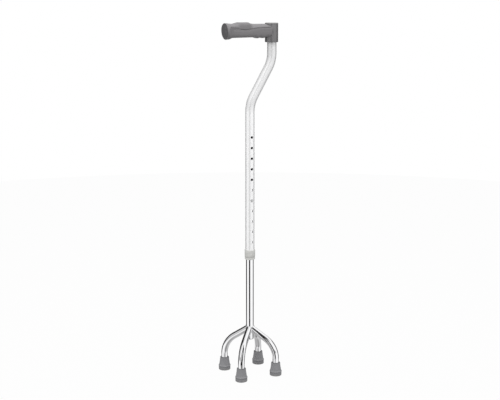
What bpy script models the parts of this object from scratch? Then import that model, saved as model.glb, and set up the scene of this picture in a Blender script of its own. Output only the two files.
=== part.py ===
"""Quad cane: an offset handle on a telescoping tube over four bent legs.

Metres, +Z up. The origin is on the floor, on the axis of the tubes. The handle lies in the XZ plane,
with its free end towards -X, and the adjusting holes face -Y.
"""

import math

import bmesh
import bpy
from mathutils import Vector

mm = 0.001

# Clearances between pieces that touch on the real cane
SEAT_GAP = 0.3 * mm
SLIDE_GAP = 0.3 * mm
GUIDE_GAP = 0.15 * mm
RUNNING_GAP = 0.4 * mm

# Tubes
UPPER_TUBE_DIAMETER = 22.2 * mm
UPPER_TUBE_WALL = 1.25 * mm
LOWER_TUBE_WALL = 1.5 * mm
LOWER_TUBE_LENGTH = 382.0 * mm
LEG_DIAMETER = 16.0 * mm
LEG_WALL = 1.5 * mm

# Base
FOOT_SPACING = 94.0 * mm
LEG_SLOPE = math.radians(33.0)
LEG_BEND_RADIUS = 58.0 * mm
LEG_KNEE_HEIGHT = 41.36 * mm
POST_STUB = 28.0 * mm
WELD_THICKNESS = 0.8 * mm
WELD_REACH = 12.0 * mm
PLUG_STEM = 12.0 * mm
PLUG_EDGE = 0.8 * mm
PLUG_DOME = 2.6 * mm

# Rubber tips
FOOT_HEIGHT = 32.0 * mm
FOOT_FLOOR = 4.5 * mm
FOOT_WALL = 2.6 * mm
FOOT_LIP = 6.9 * mm
FOOT_RIM_CHAMFER = 0.7 * mm
FOOT_FLARE_INSET = 1.4 * mm
FOOT_FLARE_POWER = 1.3
SOLE_HEIGHT = 8.4 * mm
SOLE_INSET = 0.5 * mm
SOLE_CHAMFER = 0.9 * mm
BEAD_RADIUS = 1.7 * mm
TREAD_RADIUS = 8.0 * mm
TREAD_WIDTH = 2.4 * mm
TREAD_DEPTH = 1.2 * mm
WASHER_THICKNESS = 1.2 * mm
WASHER_HOLE_DIAMETER = 6.0 * mm

# Height lock
HOLE_PITCH = 25.4 * mm
HOLE_COUNT = 11
REST_HOLE = 6
BUTTON_DIAMETER = 5.4 * mm
BUTTON_HOLE_GAP = 0.3 * mm
BUTTON_PROUD = 1.4 * mm
BUTTON_DOME = 1.3 * mm
BUTTON_FLANGE_DIAMETER = 7.4 * mm
BUTTON_FLANGE_THICKNESS = 1.2 * mm
BUTTON_TAIL_DIAMETER = 3.0 * mm
BUTTON_BELOW_TOP = 36.8 * mm
SPRING_WIDTH = 7.4 * mm
SPRING_THICKNESS = 0.8 * mm
SPRING_RISE = 30.0 * mm
SPRING_FLAT = 12.0 * mm
SPRING_BELOW_BUTTON = 8.0 * mm
SPRING_FOLD_RADIUS = 2.6 * mm
GUIDE_STEM = 14.0 * mm
GUIDE_WALL = 2.0 * mm
GUIDE_RIM = 3.0 * mm
GUIDE_CHAMFER = 0.9 * mm

# Collar
HOLE_TO_TUBE_END = 32.0 * mm
COLLAR_WALL = 1.3 * mm
COLLAR_GRIP = 11.8 * mm
COLLAR_SKIRT = 5.0 * mm
COLLAR_CHAMFER = 0.5 * mm
COLLAR_LEDGE = 1.9 * mm
COLLAR_ROOF = 0.9 * mm
RING_HEIGHT = 6.7 * mm
RING_INSET = 0.45 * mm
RING_CHAMFER = 0.6 * mm
RING_RIBS = 16
RIB_DEPTH = 0.45 * mm
SPIGOT_WALL = 0.6 * mm
SPIGOT_LIP = 0.45 * mm
COLLET_THICKNESS = 0.9 * mm
COLLET_HEIGHT = 2.4 * mm
COLLET_SLIT = 2.5 * mm

# Neck
HOLE_TO_NECK = 79.0 * mm
NECK_OFFSET = 58.0 * mm
NECK_SLANT = math.radians(30.4)
NECK_BEND_RADIUS = 69.0 * mm
NECK_TO_SOCKET = 43.6 * mm

# Handle
SOCKET_DIAMETER = 31.4 * mm
SOCKET_SHIFT = -0.9 * mm
SOCKET_HEIGHT = 42.5 * mm
SOCKET_ROOF = 3.4 * mm
SOCKET_ROOF_HOLE = 18.0 * mm
CAP_SPIGOT = 2.0 * mm
CAP_THICKNESS = 2.8 * mm
CAP_CHAMFER = 1.0 * mm
ARBOR_DIAMETER = 20.0 * mm
ARBOR_WALL = 3.0 * mm
ARBOR_SETBACK = 6.0 * mm
GRIP_REACH = 65.1 * mm
GRIP_ABOVE_SOCKET = 27.6 * mm
GRIP_HEIGHT = 30.8 * mm
GRIP_WIDTH = 28.0 * mm
GRIP_TAPER = 0.7 * mm
GRIP_POWER = 2.3
FACE_TILT = math.radians(2.7)
FLANGE_DIAMETER = 38.0 * mm
FLANGE_DROP = 1.1 * mm
FLANGE_ROUNDING = 1.2 * mm
FLARE_LENGTH = 17.5 * mm
SWELL_RISE = 4.0 * mm
SWELL_START = 10.5 * mm
SWELL_END = 71.5 * mm
SWELL_RAMP = 25.0 * mm
BUMP_HEIGHTS = (2.2 * mm, 2.0 * mm)
BUMP_PITCH = 14.5 * mm
BUMP_WIDTH = 16.5 * mm
BUMP_START = 81.5 * mm
END_CAP_DIAMETER = 34.0 * mm
END_CAP_DEPTH = 2.3 * mm
END_CAP_DOME = 0.8 * mm
END_CAP_STEM = 16.0 * mm
SCREW_HEAD_DIAMETER = 6.8 * mm
SCREW_HEAD_HEIGHT = 1.8 * mm
SCREW_HEAD_SUNK = 0.9 * mm
SCREW_HEAD_CHAMFER = 0.9 * mm
SCREW_DIAMETER = 3.4 * mm
SCREW_REACH = 2.2 * mm
SCREW_ABOVE_SOCKET = 14.0 * mm

# How far a cutter runs past the face that it opens
CUT_OVERRUN = 3.0 * mm

# Facets
TUBE_SIDES = 28
LEG_SIDES = 20
FOOT_SIDES = 24
HOLE_SIDES = 12
GRIP_SIDES = 28
GRIP_STATIONS = 22
FLARE_STEPS = 5
BEND_STEPS = 6
DOME_STEPS = 4
WELD_STEPS = 8

# Radii that follow from the sizes above
upper_radius = UPPER_TUBE_DIAMETER / 2
upper_bore = upper_radius - UPPER_TUBE_WALL
lower_radius = upper_bore - SLIDE_GAP
lower_bore = lower_radius - LOWER_TUBE_WALL
leg_radius = LEG_DIAMETER / 2
hole_radius = BUTTON_DIAMETER / 2 + BUTTON_HOLE_GAP
collar_radius = upper_radius + SEAT_GAP + COLLAR_WALL
ring_radius = collar_radius - RING_INSET
running_bore = lower_radius + RUNNING_GAP
socket_radius = SOCKET_DIAMETER / 2
socket_bore = upper_radius + SEAT_GAP
arbor_radius = ARBOR_DIAMETER / 2
arbor_bore = arbor_radius - ARBOR_WALL

# Heights, from the floor up
leg_end = FOOT_FLOOR + WASHER_THICKNESS + 2 * SEAT_GAP
leg_spread = FOOT_SPACING / math.sqrt(2)
leg_turn = math.pi / 2 - LEG_SLOPE
leg_corner = LEG_KNEE_HEIGHT + LEG_BEND_RADIUS * math.tan(leg_turn / 2)
leg_top = leg_corner + leg_spread * math.tan(LEG_SLOPE)
post_end = leg_top - POST_STUB
lower_tube_top = post_end + LOWER_TUBE_LENGTH
button_height = lower_tube_top - BUTTON_BELOW_TOP
top_hole = button_height + REST_HOLE * HOLE_PITCH
tube_end = top_hole - (HOLE_COUNT - 1) * HOLE_PITCH - HOLE_TO_TUBE_END
neck_low = top_hole + HOLE_TO_NECK
neck_high = neck_low + NECK_OFFSET / math.tan(NECK_SLANT)
socket_low = neck_high + NECK_TO_SOCKET
socket_high = socket_low + SOCKET_HEIGHT
socket_x = NECK_OFFSET + SOCKET_SHIFT
tube_top = socket_high - SOCKET_ROOF - SEAT_GAP
grip_height = socket_low + GRIP_ABOVE_SOCKET
arbor_end = ARBOR_SETBACK - GRIP_REACH
screw_height = socket_low + SCREW_ABOVE_SOCKET

# Finish: colour, roughness, metallic
FINISHES = {
    "chrome": ((0.82, 0.83, 0.84), 0.08, 1.0),
    "satin_aluminium": ((0.88, 0.88, 0.88), 0.32, 1.0),
    "zinc_steel": ((0.70, 0.71, 0.72), 0.30, 1.0),
    "handle_plastic": ((0.17, 0.165, 0.17), 0.45, 0.0),
    "grip_rubber": ((0.18, 0.172, 0.178), 0.55, 0.0),
    "end_cap_plastic": ((0.10, 0.096, 0.10), 0.50, 0.0),
    "collar_plastic": ((0.55, 0.55, 0.53), 0.50, 0.0),
    "tip_rubber": ((0.23, 0.23, 0.24), 0.65, 0.0),
}


def clear_scene():
    for item in list(bpy.data.objects):
        bpy.data.objects.remove(item, do_unlink=True)


def make_finishes():
    made = {}
    for name, (colour, roughness, metallic) in FINISHES.items():
        material = bpy.data.materials.new(name)
        material.use_nodes = True
        shader = material.node_tree.nodes["Principled BSDF"]
        shader.inputs["Base Color"].default_value = (*colour, 1.0)
        shader.inputs["Roughness"].default_value = roughness
        shader.inputs["Metallic"].default_value = metallic
        material.diffuse_color = (*colour, 1.0)
        made[name] = material
    return made


def add_empty(name, location=(0.0, 0.0, 0.0), parent=None):
    empty = bpy.data.objects.new(name, None)
    empty.empty_display_size = 20 * mm
    empty.location = location
    empty.parent = parent
    bpy.context.scene.collection.objects.link(empty)
    return empty


def add_object(name, mesh, parent, finish=None, location=(0, 0, 0), rotation=(0, 0, 0)):
    """Puts a mesh in the scene. Without a finish it is a hidden cutter."""
    item = bpy.data.objects.new(name, mesh)
    item.parent = parent
    item.location = location
    item.rotation_euler = rotation
    bpy.context.scene.collection.objects.link(item)
    if finish is None:
        item.hide_render = True
        item.display_type = "WIRE"
    else:
        item.data.materials.append(finishes[finish])
    return item


def combine(item, other, operation="DIFFERENCE"):
    """Boolean of an object with a hidden helper."""
    modifier = item.modifiers.new(f"{operation.title()} {other.name}", "BOOLEAN")
    modifier.operation = operation
    modifier.solver = "EXACT"
    modifier.object = other
    return item


def finish_mesh(name, bm):
    """Mesh of the bmesh with its faces pointing out, smooth except at sharp edges."""
    bmesh.ops.remove_doubles(bm, verts=bm.verts, dist=1e-7)
    bmesh.ops.recalc_face_normals(bm, faces=bm.faces)
    mesh = bpy.data.meshes.new(name)
    bm.to_mesh(mesh)
    bm.free()
    mesh.shade_smooth()
    mesh.set_sharp_from_angle(angle=math.radians(30.0))
    return mesh


def turned(name, profile, sides=TUBE_SIDES):
    """Solid of a profile of (radius, height) points turned about Z.

    A profile that starts on the axis ends on it too. Any other one is closed, and makes a ring.
    """
    bm = bmesh.new()
    points = [bm.verts.new((radius, 0.0, height)) for radius, height in profile]
    following = points[1:] if profile[0][0] == 0.0 else points[1:] + points[:1]
    edges = [bm.edges.new(pair) for pair in zip(points, following)]
    bmesh.ops.spin(
        bm,
        geom=points + edges,
        cent=(0.0, 0.0, 0.0),
        axis=(0.0, 0.0, 1.0),
        angle=math.tau,
        steps=sides,
    )
    return finish_mesh(name, bm)


def rod(name, radius, low, high, sides=TUBE_SIDES):
    """Plain round bar along Z."""
    return turned(name, [(0.0, low), (radius, low), (radius, high), (0.0, high)], sides)


def dome(radius, edge, rise):
    """Profile points of a quarter ellipse, from the axis out to the edge."""
    turns = [math.pi / 2 * step / DOME_STEPS for step in range(DOME_STEPS + 1)]
    return [(radius * math.sin(turn), edge + rise * math.cos(turn)) for turn in turns]


def rounded_path(corners, bend_radius, steps=BEND_STEPS):
    """Points and directions along straight runs joined by arcs of one radius."""
    corners = [Vector(corner) for corner in corners]
    path = [(corners[0], (corners[1] - corners[0]).normalized())]
    for before, corner, after in zip(corners, corners[1:], corners[2:]):
        arriving = (corner - before).normalized()
        leaving = (after - corner).normalized()
        turn = arriving.angle(leaving)
        axis = arriving.cross(leaving).normalized()
        start = corner - arriving * bend_radius * math.tan(turn / 2)
        centre = start + axis.cross(arriving) * bend_radius
        for step in range(steps + 1):
            angle = turn * step / steps
            arm = (start - centre) * math.cos(angle) + axis.cross(start - centre) * math.sin(angle)
            along = arriving * math.cos(angle) + axis.cross(arriving) * math.sin(angle)
            path.append((centre + arm, along))
    path.append((corners[-1], (corners[-1] - corners[-2]).normalized()))
    return path


def circle(radius, sides):
    turns = [math.tau * side / sides for side in range(sides)]
    return [(radius * math.cos(turn), radius * math.sin(turn)) for turn in turns]


def add_loft(bm, rings):
    """Walls between closed rings of vertices. Returns the rings."""
    made = [[bm.verts.new(point) for point in ring] for ring in rings]
    for near, far in zip(made, made[1:]):
        for side in range(len(near)):
            following = (side + 1) % len(near)
            bm.faces.new((near[side], near[following], far[following], far[side]))
    return made


def swept(name, path, outline, across, bore=None):
    """Solid of an outline carried along a flat path, with a bore or without.

    Points of the outline and of the bore are (in the plane of the path, across it).
    """
    across = Vector(across)

    def rings(shape):
        return [
            [point + across.cross(along) * inward + across * sideways for inward, sideways in shape]
            for point, along in path
        ]

    bm = bmesh.new()
    outer = add_loft(bm, rings(outline))
    if bore is None:
        bm.faces.new(outer[0])
        bm.faces.new(outer[-1])
        return finish_mesh(name, bm)
    inner = add_loft(bm, rings(bore))
    for wide, narrow in ((outer[0], inner[0]), (outer[-1], inner[-1])):
        for side in range(len(wide)):
            following = (side + 1) % len(wide)
            bm.faces.new((wide[side], wide[following], narrow[following], narrow[side]))
    return finish_mesh(name, bm)


def smooth_step(value):
    value = min(max(value, 0.0), 1.0)
    return value * value * (3.0 - 2.0 * value)


def make_lower_tube(parent):
    profile = [
        (lower_bore, post_end),
        (lower_radius, post_end),
        (lower_radius, lower_tube_top),
        (lower_bore, lower_tube_top),
    ]
    tube = add_object("lower_tube", turned("lower_tube", profile), parent, "chrome")
    cutter = add_object(
        "lower_tube_hole",
        rod("lower_tube_hole", hole_radius, -CUT_OVERRUN, CUT_OVERRUN, HOLE_SIDES),
        parent,
        location=(0.0, -lower_radius, button_height),
        rotation=(math.pi / 2, 0.0, 0.0),
    )
    combine(tube, cutter)


def make_tube_guide(parent):
    stem_radius = lower_bore - SEAT_GAP
    rim_radius = upper_bore - GUIDE_GAP
    stem_bore = stem_radius - GUIDE_WALL
    rim_low = lower_tube_top + SEAT_GAP
    profile = [
        (stem_bore, rim_low - GUIDE_STEM),
        (stem_radius, rim_low - GUIDE_STEM),
        (stem_radius, rim_low),
        (rim_radius, rim_low),
        (rim_radius, rim_low + GUIDE_RIM - GUIDE_CHAMFER),
        (rim_radius - GUIDE_CHAMFER, rim_low + GUIDE_RIM),
        (stem_bore, rim_low + GUIDE_RIM),
    ]
    add_object("tube_guide", turned("tube_guide", profile), parent, "collar_plastic")


def make_base_plug(parent):
    stem_radius = lower_bore - SEAT_GAP
    head_top = post_end - SEAT_GAP
    profile = dome(lower_radius, head_top - PLUG_EDGE, -PLUG_DOME)
    profile += [(lower_radius, head_top), (stem_radius, head_top)]
    profile += [(stem_radius, head_top + PLUG_STEM), (0.0, head_top + PLUG_STEM)]
    add_object("base_plug", turned("base_plug", profile), parent, "chrome")


def leg_places():
    """Name and direction of each leg, seen from the holes' side of the cane."""
    for depth_name, depth in (("front", -1.0), ("back", 1.0)):
        for side_name, side in (("left", -1.0), ("right", 1.0)):
            yield f"{depth_name}_{side_name}", math.atan2(depth, side)


def make_legs(parent):
    """Each leg stands in the foot, bends over its knee and slopes up to the post."""
    outer = circle(leg_radius, LEG_SIDES)
    bore = circle(leg_radius - LEG_WALL, LEG_SIDES)
    corners = [(leg_spread, 0.0, leg_end), (leg_spread, 0.0, leg_corner), (0.0, 0.0, leg_top)]
    mesh = swept("leg", rounded_path(corners, LEG_BEND_RADIUS), outer, (0.0, 1.0, 0.0), bore)
    for name, turn in leg_places():
        leg = add_object(f"leg_{name}", mesh.copy(), parent, "chrome", rotation=(0.0, 0.0, turn))
        cope = add_object(f"leg_cope_{name}", cope_mesh(), parent, rotation=(0.0, 0.0, turn))
        combine(leg, cope)


def cope_mesh():
    """Upright block with the round of the post on one side and a mitre to either neighbouring leg."""
    round_radius = lower_radius + SEAT_GAP
    reach = 2 * leg_spread
    # Where the mitre, half a gap inside the diagonal, meets the round
    half_gap = SEAT_GAP / 2
    mitre = math.asin(half_gap / round_radius)
    widest = math.pi / 4 - mitre
    arc = [widest * (1.0 - 2.0 * step / BEND_STEPS) for step in range(BEND_STEPS + 1)]
    inward = reach - half_gap * math.sqrt(2)
    outline = [(-reach, reach), (reach, reach), (reach, inward)]
    outline += [(round_radius * math.cos(turn), round_radius * math.sin(turn)) for turn in arc]
    outline += [(reach, -inward), (reach, -reach), (-reach, -reach)]
    bm = bmesh.new()
    low, high = post_end - leg_spread, leg_top + leg_spread
    walls = add_loft(bm, [[(x, y, height) for x, y in outline] for height in (low, high)])
    bm.faces.new(walls[0])
    bm.faces.new(walls[-1])
    return finish_mesh("leg_cope", bm)


def make_leg_weld(parent):
    """Ring of weld metal round the post, a parabola in section, cut through by the four legs."""
    inside = lower_radius + SEAT_GAP
    middle = leg_top - lower_radius * math.tan(LEG_SLOPE)
    # Four legs side by side fill the ring out to this radius
    filled = math.sqrt(2) * (leg_radius + SEAT_GAP)
    depth = filled + WELD_THICKNESS - inside
    shares = [2 * step / WELD_STEPS - 1 for step in range(WELD_STEPS + 1)]
    profile = [(inside + depth * (1 - share**2), middle + WELD_REACH * share) for share in shares]
    weld = add_object("leg_weld", turned("leg_weld", profile), parent, "chrome")
    for name, turn in leg_places():
        cutter = add_object(
            f"weld_cutter_{name}",
            rod("weld_cutter", leg_radius + SEAT_GAP, 0.0, leg_spread, LEG_SIDES),
            parent,
            location=(0.0, 0.0, leg_top),
            rotation=(0.0, math.pi / 2 + LEG_SLOPE, turn),
        )
        combine(weld, cutter)


def make_feet(parent):
    """Rubber tips, each with its steel washer under the leg's end."""
    bore = leg_radius + SEAT_GAP
    rim = bore + FOOT_WALL
    lip = leg_radius + FOOT_LIP
    sole = lip - SOLE_INSET
    tread_in = TREAD_RADIUS - TREAD_WIDTH / 2
    tread_out = TREAD_RADIUS + TREAD_WIDTH / 2
    foot_profile = [
        (0.0, 0.0),
        (tread_in, 0.0),
        (tread_in, TREAD_DEPTH),
        (tread_out, TREAD_DEPTH),
        (tread_out, 0.0),
        (sole - SOLE_CHAMFER, 0.0),
        (sole, SOLE_CHAMFER),
        (sole, SOLE_HEIGHT),
    ]
    # A round bead, then a flare that narrows to the rim
    bead = SOLE_HEIGHT + BEAD_RADIUS
    for turn in (math.pi / 4 * step for step in range(-1, 2)):
        out = lip - BEAD_RADIUS * (1.0 - math.cos(turn))
        foot_profile.append((out, bead + BEAD_RADIUS * math.sin(turn)))
    flare_low = bead + BEAD_RADIUS
    flare_high = FOOT_HEIGHT - FOOT_RIM_CHAMFER
    shoulder = lip - FOOT_FLARE_INSET
    for share in (step / DOME_STEPS for step in range(DOME_STEPS + 1)):
        out = rim + (shoulder - rim) * (1.0 - share) ** FOOT_FLARE_POWER
        foot_profile.append((out, flare_low + (flare_high - flare_low) * share))
    foot_profile += [
        (rim - FOOT_RIM_CHAMFER, FOOT_HEIGHT),
        (bore, FOOT_HEIGHT),
        (bore, FOOT_FLOOR),
        (0.0, FOOT_FLOOR),
    ]
    washer_low = FOOT_FLOOR + SEAT_GAP
    washer_profile = [
        (WASHER_HOLE_DIAMETER / 2, washer_low),
        (leg_radius, washer_low),
        (leg_radius, washer_low + WASHER_THICKNESS),
        (WASHER_HOLE_DIAMETER / 2, washer_low + WASHER_THICKNESS),
    ]
    foot_mesh = turned("foot", foot_profile, FOOT_SIDES)
    washer_mesh = turned("washer", washer_profile, FOOT_SIDES)
    for name, turn in leg_places():
        place = (leg_spread * math.cos(turn), leg_spread * math.sin(turn), 0.0)
        add_object(f"foot_{name}", foot_mesh.copy(), parent, "tip_rubber", place)
        add_object(f"washer_{name}", washer_mesh.copy(), parent, "zinc_steel", place)


def make_snap_button(parent):
    """Button along -Y, with its flange inside the lower tube and its dome outside the upper one."""
    radius = BUTTON_DIAMETER / 2
    flange_radius = BUTTON_FLANGE_DIAMETER / 2
    tail_radius = BUTTON_TAIL_DIAMETER / 2
    tip = upper_radius + BUTTON_PROUD
    flange_out = math.sqrt(lower_bore**2 - flange_radius**2) - SEAT_GAP
    flange_in = flange_out - BUTTON_FLANGE_THICKNESS
    tail_in = flange_in - 2 * SPRING_THICKNESS - SEAT_GAP
    profile = [
        (0.0, tail_in),
        (tail_radius, tail_in),
        (tail_radius, flange_in),
        (flange_radius, flange_in),
        (flange_radius, flange_out),
        (radius, flange_out),
    ]
    profile += reversed(dome(radius, tip - BUTTON_DOME, BUTTON_DOME))
    add_object(
        "snap_button",
        turned("snap_button", profile, HOLE_SIDES),
        parent,
        "zinc_steel",
        rotation=(math.pi / 2, 0.0, 0.0),
    )
    return flange_in


def make_button_spring(parent, flange_in):
    """Leaf folded over at its top: the front arm carries the button, the back arm rests on the tube."""
    front = flange_in - SEAT_GAP - SPRING_THICKNESS / 2
    back = math.sqrt(lower_bore**2 - (SPRING_WIDTH / 2) ** 2) - SEAT_GAP - SPRING_THICKNESS / 2
    low = button_height - SPRING_BELOW_BUTTON
    bend = low + SPRING_FLAT
    fold = bend + SPRING_RISE
    corners = [
        (0.0, -front, low),
        (0.0, -front, bend),
        (0.0, (back - front) / 2, fold),
        (0.0, back, bend),
        (0.0, back, low),
    ]
    half, thick = SPRING_WIDTH / 2, SPRING_THICKNESS / 2
    outline = [(-thick, -half), (thick, -half), (thick, half), (-thick, half)]
    mesh = swept("button_spring", rounded_path(corners, SPRING_FOLD_RADIUS), outline, (1.0, 0.0, 0.0))
    spring = add_object("button_spring", mesh, parent, "zinc_steel")
    tail_hole = BUTTON_TAIL_DIAMETER / 2 + SEAT_GAP
    cutter = add_object(
        "spring_hole",
        rod("spring_hole", tail_hole, -CUT_OVERRUN, CUT_OVERRUN, HOLE_SIDES),
        parent,
        location=(0.0, -front, button_height),
        rotation=(math.pi / 2, 0.0, 0.0),
    )
    combine(spring, cutter)


def make_upper_tube(parent):
    corners = [
        (0.0, 0.0, tube_end),
        (0.0, 0.0, neck_low),
        (NECK_OFFSET, 0.0, neck_high),
        (NECK_OFFSET, 0.0, tube_top),
    ]
    outer = circle(upper_radius, TUBE_SIDES)
    bore = circle(upper_bore, TUBE_SIDES)
    mesh = swept("upper_tube", rounded_path(corners, NECK_BEND_RADIUS), outer, (0.0, 1.0, 0.0), bore)
    tube = add_object("upper_tube", mesh, parent, "satin_aluminium")
    for number in range(HOLE_COUNT):
        cutter = add_object(
            f"adjusting_hole_{number + 1}",
            rod("adjusting_hole", hole_radius, -CUT_OVERRUN, CUT_OVERRUN, HOLE_SIDES),
            parent,
            location=(0.0, -upper_radius, top_hole - number * HOLE_PITCH),
            rotation=(math.pi / 2, 0.0, 0.0),
        )
        combine(tube, cutter)
    screw_radius = SCREW_DIAMETER / 2 + SEAT_GAP
    screw_hole = add_object(
        "tube_screw_hole",
        rod("tube_screw_hole", screw_radius, -CUT_OVERRUN, CUT_OVERRUN, HOLE_SIDES),
        parent,
        location=(NECK_OFFSET, upper_radius, screw_height),
        rotation=(math.pi / 2, 0.0, 0.0),
    )
    combine(tube, screw_hole)


def make_collar(parent):
    """Sleeve on the tube's end, and a split collet squeezed by a ring that turns in the sleeve."""
    seat = tube_end - SEAT_GAP
    skirt_low = tube_end - COLLAR_SKIRT
    entry = running_bore + SPIGOT_WALL + SEAT_GAP
    recess = entry + SPIGOT_LIP
    sleeve_high = tube_end + COLLAR_GRIP
    sleeve_profile = [
        (entry, skirt_low),
        (collar_radius - COLLAR_CHAMFER, skirt_low),
        (collar_radius, skirt_low + COLLAR_CHAMFER),
        (collar_radius, sleeve_high - COLLAR_CHAMFER),
        (collar_radius - COLLAR_CHAMFER, sleeve_high),
        (upper_radius + SEAT_GAP, sleeve_high),
        (upper_radius + SEAT_GAP, seat),
        (running_bore, seat),
        (running_bore, seat - COLLAR_ROOF),
        (recess, seat - COLLAR_ROOF),
        (recess, skirt_low + COLLAR_LEDGE),
        (entry, skirt_low + COLLAR_LEDGE),
    ]
    add_object("collar_sleeve", turned("collar_sleeve", sleeve_profile), parent, "collar_plastic")

    ring_high = skirt_low - SEAT_GAP
    ring_low = ring_high - RING_HEIGHT
    collet_outside = lower_radius + SEAT_GAP + COLLET_THICKNESS
    collet_low = ring_low + (RING_HEIGHT - COLLET_HEIGHT) / 2
    groove = collet_outside + SEAT_GAP
    spigot = running_bore + SPIGOT_WALL
    spigot_top = seat - COLLAR_ROOF - SEAT_GAP
    lip_low = skirt_low + COLLAR_LEDGE + SEAT_GAP
    ring_profile = [
        (running_bore, ring_low),
        (ring_radius - RING_CHAMFER, ring_low),
        (ring_radius, ring_low + RING_CHAMFER),
        (ring_radius, ring_high - RING_CHAMFER),
        (ring_radius - RING_CHAMFER, ring_high),
        (spigot, ring_high),
        (spigot, lip_low),
        (spigot + SPIGOT_LIP, lip_low),
        (spigot + SPIGOT_LIP, spigot_top - SPIGOT_LIP),
        (spigot, spigot_top),
        (running_bore, spigot_top),
        (running_bore, collet_low + COLLET_HEIGHT + SEAT_GAP),
        (groove, collet_low + COLLET_HEIGHT + SEAT_GAP),
        (groove, collet_low - SEAT_GAP),
        (running_bore, collet_low - SEAT_GAP),
    ]
    ring_mesh = turned("lock_ring", ring_profile, 2 * RING_RIBS)
    cut_ribs(ring_mesh)
    add_object("lock_ring", ring_mesh, parent, "collar_plastic")

    collet_profile = [
        (lower_radius + SEAT_GAP, collet_low),
        (collet_outside, collet_low),
        (collet_outside, collet_low + COLLET_HEIGHT),
        (lower_radius + SEAT_GAP, collet_low + COLLET_HEIGHT),
    ]
    collet = add_object("collet", turned("collet", collet_profile), parent, "collar_plastic")
    slit = bmesh.new()
    bmesh.ops.create_cube(slit, size=1.0)
    bmesh.ops.scale(slit, vec=(COLLET_SLIT, lower_radius, 3 * COLLET_HEIGHT), verts=slit.verts)
    cutter = add_object(
        "collet_slit",
        finish_mesh("collet_slit", slit),
        parent,
        location=(0.0, collet_outside, collet_low + COLLET_HEIGHT / 2),
    )
    combine(collet, cutter)


def cut_ribs(mesh):
    """Draws every second line of the ring's rim inwards."""
    for vertex in mesh.vertices:
        radius = math.hypot(vertex.co.x, vertex.co.y)
        side = round(math.atan2(vertex.co.y, vertex.co.x) / math.tau * 2 * RING_RIBS)
        if side % 2 and radius > ring_radius - RIB_DEPTH:
            vertex.co.x *= (radius - RIB_DEPTH) / radius
            vertex.co.y *= (radius - RIB_DEPTH) / radius


def make_handle_core(parent):
    """Upright socket for the tube, with an arbor that carries the grip."""
    core = add_object(
        "handle_core",
        rod("handle_core", socket_radius, socket_low, socket_high),
        parent,
        "handle_plastic",
        location=(socket_x, 0.0, 0.0),
    )
    arbor = add_object(
        "arbor",
        rod("arbor", arbor_radius, 0.0, socket_x - arbor_end),
        parent,
        location=(arbor_end, 0.0, grip_height),
        rotation=(0.0, math.pi / 2, 0.0),
    )
    combine(core, arbor, "UNION")
    socket_cutter = add_object(
        "socket_bore",
        rod("socket_bore", socket_bore, socket_low - CUT_OVERRUN, tube_top + SEAT_GAP),
        parent,
        location=(NECK_OFFSET, 0.0, 0.0),
    )
    combine(core, socket_cutter)
    roof_cutter = add_object(
        "roof_hole",
        rod("roof_hole", SOCKET_ROOF_HOLE / 2, tube_top, socket_high + CUT_OVERRUN),
        parent,
        location=(socket_x, 0.0, 0.0),
    )
    combine(core, roof_cutter)
    blind = socket_x - socket_radius - arbor_end - ARBOR_WALL
    arbor_cutter = add_object(
        "arbor_bore",
        rod("arbor_bore", arbor_bore, -CUT_OVERRUN, blind),
        parent,
        location=(arbor_end, 0.0, grip_height),
        rotation=(0.0, math.pi / 2, 0.0),
    )
    combine(core, arbor_cutter)
    shank_hole = SCREW_DIAMETER / 2 + SEAT_GAP
    head_hole = SCREW_HEAD_DIAMETER / 2 + SEAT_GAP
    head_seat = socket_radius - SCREW_HEAD_SUNK - SEAT_GAP
    screw_profile = [
        (0.0, upper_bore),
        (shank_hole, upper_bore),
        (shank_hole, head_seat),
        (head_hole, head_seat),
        (head_hole, socket_radius + CUT_OVERRUN),
        (0.0, socket_radius + CUT_OVERRUN),
    ]
    screw_cutter = add_object(
        "core_screw_hole",
        turned("core_screw_hole", screw_profile, HOLE_SIDES),
        parent,
        location=(NECK_OFFSET, 0.0, screw_height),
        rotation=(-math.pi / 2, 0.0, 0.0),
    )
    combine(core, screw_cutter)


def make_handle_screw(parent):
    head_low = socket_radius - SCREW_HEAD_SUNK
    head_high = head_low + SCREW_HEAD_HEIGHT
    head = SCREW_HEAD_DIAMETER / 2
    shank = SCREW_DIAMETER / 2
    profile = [
        (0.0, upper_bore - SCREW_REACH),
        (shank, upper_bore - SCREW_REACH),
        (shank, head_low),
        (head, head_low),
        (head, head_high - SCREW_HEAD_CHAMFER),
        (head - SCREW_HEAD_CHAMFER, head_high),
        (0.0, head_high),
    ]
    add_object(
        "handle_screw",
        turned("handle_screw", profile, HOLE_SIDES),
        parent,
        "zinc_steel",
        location=(NECK_OFFSET, 0.0, screw_height),
        rotation=(-math.pi / 2, 0.0, 0.0),
    )


def make_socket_cap(parent):
    low = socket_high + SEAT_GAP
    high = low + CAP_THICKNESS
    spigot = SOCKET_ROOF_HOLE / 2 - SEAT_GAP
    profile = [
        (0.0, low - CAP_SPIGOT),
        (spigot, low - CAP_SPIGOT),
        (spigot, low),
        (socket_radius, low),
        (socket_radius, high - CAP_CHAMFER),
        (socket_radius - CAP_CHAMFER, high),
        (0.0, high),
    ]
    cap = turned("socket_cap", profile)
    add_object("socket_cap", cap, parent, "handle_plastic", location=(socket_x, 0.0, 0.0))


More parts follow.
